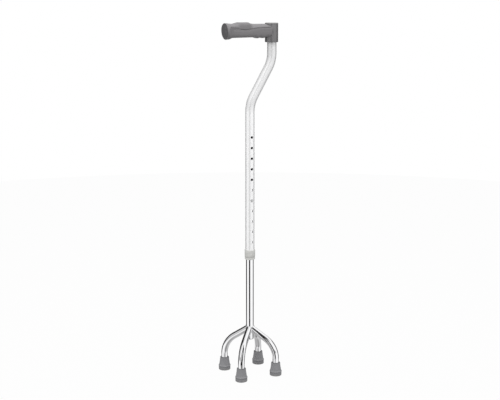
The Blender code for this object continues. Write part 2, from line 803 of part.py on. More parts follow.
def grip_section(distance):
    """Top, bottom and half width of the grip, and how square it is, at a distance from its free end."""
    flare = smooth_step((FLARE_LENGTH + FLANGE_ROUNDING - distance) / FLARE_LENGTH)
    rising = smooth_step((distance - SWELL_START) / SWELL_RAMP)
    falling = smooth_step((SWELL_END - distance) / SWELL_RAMP)
    top = GRIP_HEIGHT / 2 + SWELL_RISE * rising * falling
    bottom = GRIP_HEIGHT / 2 + GRIP_TAPER * smooth_step(1.0 - distance / BUMP_START)
    for number, height in enumerate(BUMP_HEIGHTS):
        away = abs(distance - BUMP_START - number * BUMP_PITCH)
        bottom += height * smooth_step(1.0 - away / (BUMP_WIDTH / 2))
    # The rim of the flange is rounded towards the face
    rounding = max(1.0 - distance / FLANGE_ROUNDING, 0.0)
    flange = FLANGE_DIAMETER / 2 - FLANGE_ROUNDING * (1.0 - math.sqrt(1.0 - rounding**2))
    top += (flange - FLANGE_DROP - top) * flare
    bottom += (flange + FLANGE_DROP - bottom) * flare
    half_width = GRIP_WIDTH / 2 + (flange - GRIP_WIDTH / 2) * flare
    return top, bottom, half_width, GRIP_POWER + (2.0 - GRIP_POWER) * flare, flare


def make_grip(parent):
    """Sleeve on the arbor, coped to the socket."""
    length = GRIP_REACH + socket_x
    flared = FLANGE_ROUNDING + FLARE_LENGTH
    arc = [math.pi / 2 * step / DOME_STEPS for step in range(DOME_STEPS)]
    stations = [FLANGE_ROUNDING * (1.0 - math.cos(turn)) for turn in arc]
    stations += [FLANGE_ROUNDING + FLARE_LENGTH * step / FLARE_STEPS for step in range(FLARE_STEPS)]
    stations += [flared + (length - flared) * step / GRIP_STATIONS for step in range(GRIP_STATIONS + 1)]
    rings = []
    for distance in stations:
        top, bottom, half_width, power, flare = grip_section(distance)
        ring = []
        for side in range(GRIP_SIDES):
            turn = math.tau * side / GRIP_SIDES
            sideways = math.copysign(abs(math.cos(turn)) ** (2.0 / power), math.cos(turn))
            upwards = math.copysign(abs(math.sin(turn)) ** (2.0 / power), math.sin(turn))
            height = upwards * (top if upwards > 0.0 else bottom)
            lean = height * math.tan(FACE_TILT) * flare
            ring.append((distance - GRIP_REACH - lean, half_width * sideways, height))
        rings.append(ring)
    bm = bmesh.new()
    walls = add_loft(bm, rings)
    bm.faces.new(walls[0])
    bm.faces.new(walls[-1])
    mesh = finish_mesh("handle_grip", bm)
    grip = add_object("handle_grip", mesh, parent, "grip_rubber", (0.0, 0.0, grip_height))
    cope_low = grip_height - GRIP_HEIGHT
    cope_high = grip_height + GRIP_HEIGHT
    cope = add_object(
        "grip_cope",
        rod("grip_cope", socket_radius + SEAT_GAP, cope_low, cope_high),
        parent,
        location=(socket_x, 0.0, 0.0),
    )
    combine(grip, cope)
    cap_seat = END_CAP_DIAMETER / 2 + SEAT_GAP
    bore_profile = [
        (0.0, -CUT_OVERRUN),
        (cap_seat, -CUT_OVERRUN),
        (cap_seat, END_CAP_DEPTH),
        (arbor_radius + SEAT_GAP, END_CAP_DEPTH),
        (arbor_radius + SEAT_GAP, length + CUT_OVERRUN),
        (0.0, length + CUT_OVERRUN),
    ]
    bore = add_object(
        "grip_bore",
        in_flange(turned("grip_bore", bore_profile)),
        parent,
        location=(-GRIP_REACH, 0.0, grip_height),
        rotation=(0.0, math.pi / 2, 0.0),
    )
    combine(grip, bore)


def in_flange(mesh):
    """Lowers and leans the wide end of a piece turned round the grip's axis, as the flange does."""
    for vertex in mesh.vertices:
        wide = math.hypot(vertex.co.x, vertex.co.y) > arbor_radius + 2 * SEAT_GAP
        if vertex.co.z > END_CAP_DEPTH + SEAT_GAP / 2:
            continue
        if wide or vertex.co.z < SEAT_GAP / 2:
            vertex.co.x += FLANGE_DROP
        vertex.co.z += vertex.co.x * math.tan(FACE_TILT)
    return mesh


def make_grip_end_cap(parent):
    """Domed disc in the flange, on a stem that fits the arbor's bore."""
    radius = END_CAP_DIAMETER / 2
    inner = END_CAP_DEPTH - SEAT_GAP
    stem = arbor_bore - SEAT_GAP
    profile = dome(radius, 0.0, -END_CAP_DOME)
    profile += [
        (radius, inner),
        (stem, inner),
        (stem, END_CAP_STEM),
        (0.0, END_CAP_STEM),
    ]
    add_object(
        "grip_end_cap",
        in_flange(turned("grip_end_cap", profile)),
        parent,
        "end_cap_plastic",
        location=(-GRIP_REACH, 0.0, grip_height),
        rotation=(0.0, math.pi / 2, 0.0),
    )


clear_scene()
finishes = make_finishes()

base = add_empty("base")
make_lower_tube(base)
make_tube_guide(base)
make_base_plug(base)
make_legs(base)
make_leg_weld(base)
make_feet(base)

button_axis = add_empty("button_axis", (0.0, 0.0, button_height), base)
button_flange = make_snap_button(button_axis)
make_button_spring(base, button_flange)

upper_assembly = add_empty("upper_assembly", parent=base)
make_upper_tube(upper_assembly)
make_collar(upper_assembly)
make_handle_core(upper_assembly)
make_handle_screw(upper_assembly)
make_socket_cap(upper_assembly)
make_grip(upper_assembly)
make_grip_end_cap(upper_assembly)
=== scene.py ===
# Quad cane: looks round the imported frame. Shapes are worked out in millimetres and stored in metres.
import math
import bmesh
import bpy
import numpy as np
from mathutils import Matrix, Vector


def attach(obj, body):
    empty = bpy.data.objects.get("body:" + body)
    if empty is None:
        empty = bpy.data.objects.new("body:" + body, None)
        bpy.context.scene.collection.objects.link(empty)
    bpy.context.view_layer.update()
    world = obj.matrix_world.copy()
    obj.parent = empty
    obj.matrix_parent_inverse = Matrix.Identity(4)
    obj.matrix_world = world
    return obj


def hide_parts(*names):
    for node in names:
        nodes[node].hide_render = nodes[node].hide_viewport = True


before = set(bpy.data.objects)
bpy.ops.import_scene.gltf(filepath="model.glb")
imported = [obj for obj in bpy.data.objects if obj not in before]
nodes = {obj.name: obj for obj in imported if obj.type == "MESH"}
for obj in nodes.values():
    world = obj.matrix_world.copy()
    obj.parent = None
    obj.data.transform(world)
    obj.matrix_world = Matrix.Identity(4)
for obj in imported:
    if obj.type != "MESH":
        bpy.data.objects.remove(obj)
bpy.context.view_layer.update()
scene = bpy.context.scene
mm = 0.001
print("frame loaded:", len(nodes), "nodes")


# Shader graphs

class Number:
    # A number in a shader. Each operator adds one Math node.
    def __init__(self, graph, socket):
        self.graph = graph
        self.socket = socket

    def join(self, operation, first, second=0.0):
        # the Math node of two values
        return self.graph.add("Math", {"operation": operation}, {0: first, 1: second})

    def __add__(self, other):
        return self.join("ADD", self, other)

    def __radd__(self, other):
        return self.join("ADD", other, self)

    def __sub__(self, other):
        return self.join("SUBTRACT", self, other)

    def __rsub__(self, other):
        return self.join("SUBTRACT", other, self)

    def __mul__(self, other):
        return self.join("MULTIPLY", self, other)

    def __rmul__(self, other):
        return self.join("MULTIPLY", other, self)

    def __pow__(self, other):
        return self.join("POWER", self, other)

    def __abs__(self):
        return self.join("ABSOLUTE", self)

    def out(self, name):
        # another output of the same node
        return Number(self.graph, self.socket.node.outputs[name])


class Graph:
    # A node tree. The method add makes any node, and the others are what the finishes use often.
    def __init__(self, tree):
        self.tree = tree

    def add(self, kind, settings=None, sockets=None, output=0):
        # one node of this type: its settings first, then its sockets
        node = self.tree.nodes.new("ShaderNode" + kind)
        for name, setting in (settings or {}).items():
            setattr(node, name, setting)
        self.feed(node, sockets or {})
        return Number(self, node.outputs[output]) if node.outputs else None

    def feed(self, node, sockets):
        # a link where the value is a Number, or else a fixed value
        for name, value in sockets.items():
            if isinstance(value, Number):
                self.tree.links.new(value.socket, node.inputs[name])
            else:
                node.inputs[name].default_value = value

    def part(self, place, axis):
        # one coordinate of a place
        return self.add("SeparateXYZ", None, {0: place}, axis)

    def noise(self, place, scale, detail=3.0, roughness=0.55):
        # clouds from 0 to 1, as many to the metre as the scale says
        sockets = {"Vector": place, "Scale": scale, "Detail": detail, "Roughness": roughness}
        return self.add("TexNoise", None, sockets)

    def streaks(self, place, scales, detail=3.0, roughness=0.55):
        # noise of the place times a scale for each axis, so that it can run long in one of them
        scaled = self.add("VectorMath", {"operation": "MULTIPLY"}, {0: place, 1: scales})
        return self.noise(scaled, 1.0, detail, roughness)

    def ramp(self, value, low, high, start=0.0, end=1.0):
        # start below low, end above high, a smooth step between
        settings = {"interpolation_type": "SMOOTHSTEP"}
        return self.add("MapRange", settings, {0: value, 1: low, 2: high, 3: start, 4: end})

    def blend(self, factor, first, second):
        # one colour into another
        settings = {"data_type": "RGBA", "clamp_factor": True}
        return self.add("Mix", settings, {0: factor, 6: first, 7: second}, 2)

    def bump(self, height, distance, strength=1.0):
        # a normal leaned by a height, of this many metres from 0 to 1
        return self.add("Bump", None, {"Height": height, "Distance": distance, "Strength": strength})


def grey(level):
    # an even grey
    return (level, level, level, 1.0)


def opaque(colour):
    # a colour with full alpha
    return (*colour, 1.0)


def newMaterial(name, constants=None):
    # a material with its graph and its shader node, whose unvarying sockets are set here
    material = bpy.data.materials.new(name)
    material.use_nodes = True
    graph = Graph(material.node_tree)
    shader = material.node_tree.nodes["Principled BSDF"]
    graph.feed(shader, constants or {})
    return material, graph, shader


def placeOf(graph, place):
    # the point on the object, or on a bent tube the point it had before bending
    if place == "Object":
        return graph.add("TexCoord", None, None, "Object")
    return graph.add("Attribute", {"attribute_name": place}, None, "Vector")


# Finishes: a scale is in lumps to the metre, an edge is the two noise levels that a mask fades between

chrome = {
    "colour": (0.955, 0.955, 0.965), "roughness": 0.035,
    "hazeColour": (0.88, 0.885, 0.90), "hazeRoughness": 0.10,
    "smudgeScale": 34.0, "smudgeEdge": (0.50, 0.72), "smudgeShare": 0.6,
    "lineScale": (1500.0, 1500.0, 14.0), "lineEdge": (0.62, 0.80), "lineShare": 0.25,
    "lineDepth": 0.000003, "lineStrength": 0.35,
    "scuffScale": (420.0, 420.0, 60.0), "scuffEdge": (0.56, 0.66), "scuffShare": 0.25,
    "scuffHeight": (0.028, 0.055),
}


def chromeFinish(name, place, scuffed=False):
    # bright plate: thin haze in patches, fine draw lines along the tube, scuffs near the floor
    values = chrome
    material, graph, shader = newMaterial(name, {"Metallic": 1.0})
    where = placeOf(graph, place)
    smudges = graph.ramp(graph.noise(where, values["smudgeScale"], detail=4.0), *values["smudgeEdge"])
    lines = graph.streaks(where, values["lineScale"], detail=2.0)
    haze = smudges * values["smudgeShare"] + graph.ramp(lines, *values["lineEdge"]) * values["lineShare"]
    if scuffed:
        height = graph.part(placeOf(graph, "Object"), "Z")
        low = graph.ramp(height, *values["scuffHeight"], 1.0, 0.0)
        marks = graph.streaks(where, values["scuffScale"], detail=5.0, roughness=0.7)
        haze = haze + low * graph.ramp(marks, *values["scuffEdge"]) * values["scuffShare"]
    roughness = haze * values["hazeRoughness"] + values["roughness"]
    colour = graph.blend(haze, opaque(values["colour"]), opaque(values["hazeColour"]))
    normal = graph.bump(lines, values["lineDepth"], values["lineStrength"])
    graph.feed(shader, {"Base Color": colour, "Roughness": roughness, "Normal": normal})
    return material


satin = {
    "colour": (0.985, 0.985, 0.99), "darkColour": (0.93, 0.93, 0.94), "metallic": 0.38, "roughness": 0.30,
    # the neck colour is painted shade on the bent neck, darker than the straight tube
    "neckShadeColour": (0.79, 0.79, 0.795), "neckShadeStart": (0.635, 0.668),
    "boreShadeColour": (0.022, 0.022, 0.023), "boreShadeEdge": (0.0104, 0.01108),  # radius where the painted bore shade ends
    "streakScale": (1100.0, 1100.0, 9.0), "streakEdge": (0.30, 0.75), "streakShare": 0.35,
    "streakRoughness": 0.06, "streakDepth": 0.05,
    "cloudScale": 26.0, "cloudEdge": (0.35, 0.75), "cloudShare": 0.25,
    "hairScale": (260.0, 260.0, 1500.0), "hairEdge": (0.70, 0.76), "hairRoughness": 0.05,
    "ringScale": (30.0, 30.0, 2600.0), "ringDepth": 0.00002,
}


def satinFinish(name):
    # anodised tube: fine rings from grinding that spread its mirror lines lengthwise, long streaks and cloudy
    # tone; painted shade darkens the bent neck and paints the bore and the holes' cut edges near black
    values = satin
    material, graph, shader = newMaterial(name)
    where = placeOf(graph, "unbent")
    sideways, forwards = graph.part(where, "X"), graph.part(where, "Y")
    # painted shade mask: 0 in the bore and the hole walls, 1 on the outer skin
    clearOfBoreShade = graph.ramp((sideways * sideways + forwards * forwards) ** 0.5, *values["boreShadeEdge"])
    streaks = graph.streaks(where, values["streakScale"], detail=4.0, roughness=0.65)
    clouds = graph.ramp(graph.noise(where, values["cloudScale"]), *values["cloudEdge"])
    hairs = graph.ramp(graph.streaks(where, values["hairScale"], detail=2.0), *values["hairEdge"])
    rings = graph.streaks(where, values["ringScale"], detail=1.0)
    tone = graph.ramp(streaks, *values["streakEdge"]) * values["streakShare"] + clouds * values["cloudShare"]
    straight = graph.blend(tone, opaque(values["colour"]), opaque(values["darkColour"]))
    # painted shade: from the bend upwards the tube is darkened towards the neck colour
    neckShade = graph.ramp(graph.part(placeOf(graph, "Object"), "Z"), *values["neckShadeStart"])
    skin = graph.blend(neckShade, straight, opaque(values["neckShadeColour"]))
    # painted shade: the bore and the hole walls are painted near black and not metallic
    colour = graph.blend(clearOfBoreShade, opaque(values["boreShadeColour"]), skin)
    metal = clearOfBoreShade * values["metallic"]
    roughness = tone * values["streakRoughness"] + hairs * values["hairRoughness"] + values["roughness"]
    normal = graph.bump(rings + streaks * values["streakDepth"], values["ringDepth"])
    graph.feed(shader, {"Base Color": colour, "Metallic": metal, "Roughness": roughness, "Normal": normal})
    return material


zincPlate = {
    "colour": (0.72, 0.72, 0.72), "bloomColour": (0.5488, 0.56, 0.5712), "roughness": (0.24, 0.42),
    "bloomScale": 320.0, "bloomEdge": (0.35, 0.7), "roughEdge": (0.3, 0.7),
    "markScale": (400.0, 2600.0, 2600.0), "markRoughness": 0.06, "markDepth": 0.00003, "markStrength": 0.5,
}


def zincFinish(name):
    # zinc plated steel: dull grey with a mottled bloom and short brush marks
    values = zincPlate
    material, graph, shader = newMaterial(name, {"Metallic": 1.0})
    where = placeOf(graph, "Object")
    bloom = graph.noise(where, values["bloomScale"], detail=5.0, roughness=0.6)
    marks = graph.streaks(where, values["markScale"])
    bloomed = graph.ramp(bloom, *values["bloomEdge"])
    colour = graph.blend(bloomed, opaque(values["colour"]), opaque(values["bloomColour"]))
    dull = graph.ramp(bloom, *values["roughEdge"], *values["roughness"])
    roughness = dull + marks * values["markRoughness"]
    normal = graph.bump(marks, values["markDepth"], values["markStrength"])
    graph.feed(shader, {"Base Color": colour, "Roughness": roughness, "Normal": normal})
    return material


gripRubber = {
    "colour": (0.168, 0.162, 0.167), "roughness": 0.48, "specular": 0.42,
    "grainScale": 1500.0, "grainDepth": 0.00006, "grainStrength": 0.6,
    "skinScale": 210.0, "skinRoughness": 0.10, "skinDepth": 0.6,
    "wornColour": (0.150, 0.145, 0.149), "wornShare": 0.8, "polish": 0.16,
    "palmScale": 45.0, "palmEdge": (0.30, 0.62), "palmRise": (0.004, 0.016),
    "dustAndHighlightColour": (0.232, 0.226, 0.222), "dustAndHighlightShare": 0.35, "dustEdge": (0.55, 0.75),
    "dustRise": (-0.012, 0.002), "dustAbove": 0.25,
}


def gripFinish(name, middle):
    # soft skin: fine grain, the palm's polish along the top, dust in the low places; rises count from middle
    values = gripRubber
    material, graph, shader = newMaterial(name, {"Specular IOR Level": values["specular"]})
    where = placeOf(graph, "Object")
    grain = graph.noise(where, values["grainScale"], detail=2.0, roughness=0.5)
    skin = graph.noise(where, values["skinScale"], detail=4.0, roughness=0.6)
    patches = graph.ramp(graph.noise(where, values["palmScale"]), *values["palmEdge"])
    up = graph.part(where, "Z")
    palm = graph.ramp(up, *(middle + rise for rise in values["palmRise"])) * patches
    lying = graph.ramp(up, *(middle + rise for rise in values["dustRise"]), 1.0, values["dustAbove"])
    dustAndHighlight = graph.ramp(skin, *values["dustEdge"]) * lying
    worn = graph.blend(palm * values["wornShare"], opaque(values["colour"]), opaque(values["wornColour"]))
    colour = graph.blend(dustAndHighlight * values["dustAndHighlightShare"], worn, opaque(values["dustAndHighlightColour"]))
    roughness = values["roughness"] + skin * values["skinRoughness"] - palm * values["polish"]
    normal = graph.bump(grain + skin * values["skinDepth"], values["grainDepth"], values["grainStrength"])
    graph.feed(shader, {"Base Color": colour, "Roughness": roughness, "Normal": normal})
    return material


moulding = {  # what the hard mouldings share
    "flowScale": (60.0, 60.0, 240.0), "flowEdge": (0.3, 0.75), "rubEdge": (0.50, 0.70),
    "grainRoughness": 0.08, "grainStrength": 0.6, "paintedHighlightFlow": 0.25,
}
handleLook = {
    "colour": (0.128, 0.125, 0.128), "darkColour": (0.112, 0.109, 0.112), "rubColour": (0.158, 0.155, 0.158),
    "rubScale": 90.0, "rubShare": 0.3, "polish": 0.05, "roughness": 0.17, "specular": 1.0,
    "grainScale": 1300.0, "grainDepth": 0.000012,
    # the lighter band high on the socket's lid is a painted highlight
    "dustAndHighlightColour": (0.26, 0.255, 0.25), "paintedHighlightHeight": (0.8502, 0.8515), "dustAndHighlightShare": 0.85,
}
endCapLook = {
    "colour": (0.111, 0.107, 0.111), "darkColour": (0.090, 0.087, 0.091), "rubColour": (0.16, 0.156, 0.16),
    "rubScale": 130.0, "rubShare": 0.4, "polish": 0.08, "roughness": 0.46, "specular": 0.4,
    "grainScale": 1400.0, "grainDepth": 0.00005,
}
collarLook = {
    "colour": (0.62, 0.62, 0.60), "darkColour": (0.56, 0.56, 0.54), "rubColour": (0.70, 0.70, 0.68),
    "rubScale": 110.0, "rubShare": 0.4, "polish": 0.06, "roughness": 0.46, "specular": 0.45,
    "grainScale": 1200.0, "grainDepth": 0.00004,
}


def mouldedFinish(name, look):
    # hard moulding: spark-eroded grain, faint flow marks, rubbed places that shine a little more, and on some
    # a painted highlight: a lighter band along the upper edge
    values = {**moulding, **look}
    material, graph, shader = newMaterial(name, {"Specular IOR Level": values["specular"]})
    where = placeOf(graph, "Object")
    grain = graph.noise(where, values["grainScale"], detail=3.0, roughness=0.6)
    flow = graph.streaks(where, values["flowScale"])
    flowed = graph.ramp(flow, *values["flowEdge"])
    rubs = graph.noise(where, values["rubScale"], detail=5.0, roughness=0.65)
    rubbedAndRimShade = graph.ramp(rubs, *values["rubEdge"])
    tone = graph.blend(flowed, opaque(values["colour"]), opaque(values["darkColour"]))
    colour = graph.blend(rubbedAndRimShade * values["rubShare"], tone, opaque(values["rubColour"]))
    # painted highlight: the top edge is lightened as if lit from above, unevenly along the flow marks
    if "dustAndHighlightColour" in look:
        uneven = (1.0 - values["paintedHighlightFlow"]) + flow * values["paintedHighlightFlow"]
        dustAndHighlight = graph.ramp(graph.part(where, "Z"), *values["paintedHighlightHeight"]) * uneven * values["dustAndHighlightShare"]
        colour = graph.blend(dustAndHighlight, colour, opaque(values["dustAndHighlightColour"]))
    roughness = values["roughness"] + grain * values["grainRoughness"] - rubbedAndRimShade * values["polish"]
    normal = graph.bump(grain, values["grainDepth"], values["grainStrength"])
    graph.feed(shader, {"Base Color": colour, "Roughness": roughness, "Normal": normal})
    return material


tipRubber = {
    "colour": (0.252, 0.252, 0.262), "roughness": 0.62, "specular": 0.35,
    "bloomColour": (0.295, 0.295, 0.305), "bloomScale": 95.0, "bloomEdge": (0.40, 0.68), "bloomShare": 0.35,
    "bloomRoughness": 0.16, "bloomDepth": 0.5,
    "dustAndHighlightColour": (0.38, 0.37, 0.35), "dustEdge": (0.35, 0.6), "dustTop": 0.0075, "dustAndHighlightShare": 0.4,
    # the scuff colour also paints shade in a band round the top rim
    "scuffAndRimShadeColour": (0.16, 0.16, 0.166), "scuffScale": (180.0, 180.0, 900.0), "scuffEdge": (0.60, 0.70),
    "scuffShare": 0.22, "scuffPolish": 0.12, "rimShadeBand": 0.0012,
    "grainScale": 1300.0, "grainDepth": 0.00007, "grainStrength": 0.6,
}


def tipFinish(name, rim):
    # moulded rubber: grey bloom in clouds, floor dust low down, dark scuffs, painted shade round the top rim
    values = tipRubber
    material, graph, shader = newMaterial(name, {"Specular IOR Level": values["specular"]})
    where = placeOf(graph, "Object")
    height = graph.part(where, "Z")
    clouds = graph.noise(where, values["bloomScale"], detail=5.0, roughness=0.65)
    grain = graph.noise(where, values["grainScale"], detail=3.0, roughness=0.6)
    marks = graph.streaks(where, values["scuffScale"], detail=4.0, roughness=0.7)
    scuffs = graph.ramp(marks, *values["scuffEdge"])
    bloom = graph.ramp(clouds, *values["bloomEdge"]) * values["bloomShare"]
    low = graph.ramp(height, 0.0, values["dustTop"], 1.0, 0.0)
    dustAndHighlight = low * graph.ramp(clouds, *values["dustEdge"]) * values["dustAndHighlightShare"]
    bloomed = graph.blend(bloom, opaque(values["colour"]), opaque(values["bloomColour"]))
    dusty = graph.blend(dustAndHighlight, bloomed, opaque(values["dustAndHighlightColour"]))
    # painted shade: the top rim round the leg is darkened to the scuff colour
    rubbedAndRimShade = graph.ramp(height, rim - values["rimShadeBand"], rim)
    dark = graph.blend(rubbedAndRimShade, dusty, opaque(values["scuffAndRimShadeColour"]))
    colour = graph.blend(scuffs * values["scuffShare"], dark, opaque(values["scuffAndRimShadeColour"]))
    roughness = values["roughness"] + clouds * values["bloomRoughness"] - scuffs * values["scuffPolish"]
    lumps = grain + clouds * values["bloomDepth"]
    normal = graph.bump(lumps, values["grainDepth"], values["grainStrength"])
    graph.feed(shader, {"Base Color": colour, "Roughness": roughness, "Normal": normal})
    return material


chromeTube = chromeFinish("chromeTube", "unbent")
chromeLeg = chromeFinish("chromeLeg", "unbent", True)
chromeSolid = chromeFinish("chromeSolid", "Object")
satinTube = satinFinish("satinTube")
zinc = zincFinish("zinc")
collarPlastic = mouldedFinish("collarPlastic", collarLook)
handlePlastic = mouldedFinish("handlePlastic", handleLook)
endCapPlastic = mouldedFinish("endCapPlastic", endCapLook)
print("finishes ready")


# Surfaces

across = np.array((0.0, 1.0, 0.0))  # every tube bends in an upright plane
upright = np.array((0.0, 0.0, 1.0))
mergeDistance = 2e-7  # metres between points that count as one
heightError = 1e-6  # millimetres between heights that count as one


def smoothStep(value):
    # 0 below 0, 1 above 1, 3v^2 - 2v^3 between
    value = np.clip(value, 0.0, 1.0)
    return value * value * (3.0 - 2.0 * value)


def rising(place, start, run):
    # a smooth step up that starts at one place and takes a run
    return smoothStep((place - start) / run)


def falling(place, end, run):
    # a smooth step down that takes a run and ends at one place
    return smoothStep((end - place) / run)


def gridFaces(rows, columns, closeRows, closeColumns):
    # quads of a grid of points; a closed direction joins its end to its start
    row, column = np.meshgrid(
        np.arange(rows if closeRows else rows - 1),
        np.arange(columns if closeColumns else columns - 1),
        indexing="ij",
    )
    nextColumn = (column + 1) % columns
    here, above = row * columns, (row + 1) % rows * columns
    corners = (here + column, here + nextColumn, above + nextColumn, above + column)
    return np.stack(corners, -1).reshape(-1, 4)


def patch(points, closeRows=False, closeColumns=False, unbent=None):
    # one surface: a grid of points with its faces, and where each point was before bending
    rows, columns = points.shape[:2]
    return {
        "points": points.reshape(-1, 3),
        "unbent": (points if unbent is None else unbent).reshape(-1, 3),
        "faces": gridFaces(rows, columns, closeRows, closeColumns),
    }


def reshaped(made, points):
    # a patch with its points moved, and its pattern with them
    return {**made, "points": points, "unbent": points}


def moved(made, turn=0.0, shift=(0.0, 0.0, 0.0)):
    # a patch turned about the upright axis, then shifted
    cosine, sine = math.cos(turn), math.sin(turn)
    turned = np.array(((cosine, sine, 0.0), (-sine, cosine, 0.0), (0.0, 0.0, 1.0)))
    return {**made, "points": made["points"] @ turned + np.array(shift)}


def laid(made, right, up, out, shift):
    # a patch made about the upright axis, laid so that its x, y and z run along three directions
    return {**made, "points": made["points"] @ np.array((right, up, out)) + np.array(shift)}


def addPiece(name, patches, material, body, node, sharpAngle=38.0):
    # joins the patches at their shared edges, points the faces outwards and puts the piece on its body
    points = np.concatenate([each["points"] for each in patches]) * mm
    unbent = np.concatenate([each["unbent"] for each in patches]) * mm
    starts = np.cumsum([0] + [len(each["points"]) for each in patches[:-1]])
    faces = np.concatenate([each["faces"] + start for each, start in zip(patches, starts)])
    mesh = bpy.data.meshes.new(name)
    mesh.from_pydata(points, [], faces.tolist())
    attribute = mesh.attributes.new("unbent", "FLOAT_VECTOR", "POINT")
    attribute.data.foreach_set("vector", unbent.astype(np.float32).ravel())
    shell = bmesh.new()
    shell.from_mesh(mesh)
    bmesh.ops.remove_doubles(shell, verts=shell.verts, dist=mergeDistance)
    bmesh.ops.recalc_face_normals(shell, faces=shell.faces)
    shell.to_mesh(mesh)
    shell.free()
    mesh.shade_smooth()
    mesh.set_sharp_from_angle(angle=math.radians(sharpAngle))
    mesh.materials.append(material)
    piece = bpy.data.objects.new(name, mesh)
    scene.collection.objects.link(piece)
    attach(piece, body)
    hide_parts(node)
    print("piece", name, len(mesh.polygons), "faces")


def roundedProfile(corners, steps=5):
    # straight runs between the corners (radius, height, rounding), each corner an arc of its rounding
    made = []
    count = len(corners)
    for index, (radius, height, rounding) in enumerate(corners):
        here = np.array((radius, height))
        if not rounding:
            made.append(here)
            continue
        before = np.array(corners[index - 1][:2]) - here
        after = np.array(corners[(index + 1) % count][:2]) - here
        before, after = before / np.linalg.norm(before), after / np.linalg.norm(after)
        half = 0.5 * math.acos(np.clip(before @ after, -1.0, 1.0))
        reach = rounding / math.tan(half)
        centre = here + (before + after) / np.linalg.norm(before + after) * rounding / math.sin(half)
        start, end = here + before * reach - centre, here + after * reach - centre
        spread = math.pi - 2.0 * half
        share = np.linspace(0.0, 1.0, steps + 1)[:, None]
        arc = (np.sin((1.0 - share) * spread) * start + np.sin(share * spread) * end) / math.sin(spread)
        made.extend(centre + arc)
    return np.array(made)


def turnedPatch(profile, sides=96, closed=True):
    # the profile of (radius, height) turned once round the upright axis
    turn = np.linspace(0.0, 2.0 * np.pi, sides, endpoint=False)[:, None]
    radius, height = profile[:, 0][None, :], profile[:, 1][None, :]
    points = np.stack((radius * np.cos(turn), radius * np.sin(turn), height + 0.0 * turn), -1)
    return patch(points, True, closed)


def bentPath(corners, bendRadius, arcSteps, runSteps):
    # points, directions and lengths along straight runs joined by arcs of one radius, all in the plane y = 0
    corners = [np.array((x, 0.0, z)) for x, z in corners]
    points, directions = [], []
    last = corners[0]
    for before, corner, after in zip(corners, corners[1:], corners[2:]):
        arriving = (corner - before) / np.linalg.norm(corner - before)
        leaving = (after - corner) / np.linalg.norm(after - corner)
        turn = math.acos(arriving @ leaving)
        axis = np.cross(arriving, leaving) / math.sin(turn)
        start = corner - arriving * bendRadius * math.tan(turn / 2.0)
        share = np.linspace(0.0, 1.0, runSteps + 1)[:-1, None]
        points.append(last + (start - last) * share)
        directions.append(arriving + 0.0 * share)
        arm = -np.cross(axis, arriving) * bendRadius
        angle = np.linspace(0.0, turn, arcSteps + 1)[:, None]
        points.append(start - arm + arm * np.cos(angle) + np.cross(axis, arm) * np.sin(angle))
        directions.append(arriving * np.cos(angle) + np.cross(axis, arriving) * np.sin(angle))
        last = points[-1][-1]
        points[-1], directions[-1] = points[-1][:-1], directions[-1][:-1]
    share = np.linspace(0.0, 1.0, runSteps + 1)[:, None]
    final = (corners[-1] - last) / np.linalg.norm(corners[-1] - last)
    points.append(last + (corners[-1] - last) * share)
    directions.append(final + 0.0 * share)
    points, directions = np.concatenate(points), np.concatenate(directions)
    steps = np.linalg.norm(np.diff(points, axis=0), axis=1)
    return points, directions, np.concatenate(([0.0], np.cumsum(steps)))


def uprightPath(heights):
    # points, directions and lengths straight up the axis
    points = np.stack((0.0 * heights, 0.0 * heights, heights), -1)
    return points, np.tile(upright, (len(heights), 1)), heights - heights[0]


def tubeSkin(path, radius, turns, start):
    # a circle carried along the path; turns are measured from -Y, and start is the path's first height unbent
    points, directions, lengths = path
    normals = np.cross(across, directions)[:, None, :]
    sideways, forwards = np.sin(turns)[None, :, None], -np.cos(turns)[None, :, None]
    skin = points[:, None, :] + radius * (sideways * normals + forwards * across)
    unbent = np.stack(np.broadcast_arrays(
        radius * np.sin(turns)[None, :], -radius * np.cos(turns)[None, :], (start + lengths)[:, None]), -1)
    return skin, unbent


holeSkin = {
    "halfTurn": math.radians(35.0),  # how far round the tube the patch reaches
    "columns": 14, "rows": 16, "rings": 9, "edgeSteps": 4, "edge": 0.28, "crowd": 1.6,
}


def holePatch(radius, wall, holeRadius, height, halfCell):
    # skin round one drilled hole: from a rectangle on the tube to the hole's round edge, which is eased by a
    # quarter circle, then through the wall and out again on the inner skin
    values = holeSkin
    side, edge = values["halfTurn"], values["edge"]
    rowTurns = np.linspace(-side, side, values["columns"] + 1)
    rowHeights = np.linspace(-halfCell, halfCell, values["rows"] + 1)
    sideTurns, endHeights = np.full(values["rows"], side), np.full(values["columns"], halfCell)
    rimTurn = np.concatenate((rowTurns[:-1], sideTurns, rowTurns[:0:-1], -sideTurns))
    rimHeight = np.concatenate((-endHeights, rowHeights[:-1], endHeights, rowHeights[:0:-1]))
    clock = np.arctan2(rimHeight, radius * rimTurn)

    def onSkin(reach, depth):
        # turns, heights and radius of a ring at this reach from the hole's axis, this deep in the wall
        return np.arcsin(reach * np.cos(clock) / (radius - depth)), reach * np.sin(clock), radius - depth

    def ring(turn, up, out, share=0.0):
        # such a ring's points, drawn out by a share of the way to the rectangle
        turn, up = turn + (rimTurn - turn) * share, up + (rimHeight - up) * share
        return np.stack((out * np.sin(turn), -out * np.cos(turn), height + up), -1)

    shares = np.linspace(1.0, 0.0, values["rings"] + 1) ** values["crowd"]
    outer, inner = onSkin(holeRadius + edge, 0.0), onSkin(holeRadius, wall)
    rings = [ring(*outer, share) for share in shares]
    for angle in np.linspace(0.0, math.pi / 2.0, values["edgeSteps"] + 1)[1:]:
        reach = holeRadius + edge * (1.0 - math.sin(angle))
        rings.append(ring(*onSkin(reach, edge * (1.0 - math.cos(angle)))))
    rings += [ring(*inner, share) for share in shares[::-1]]
    return patch(np.stack(rings), False, True)


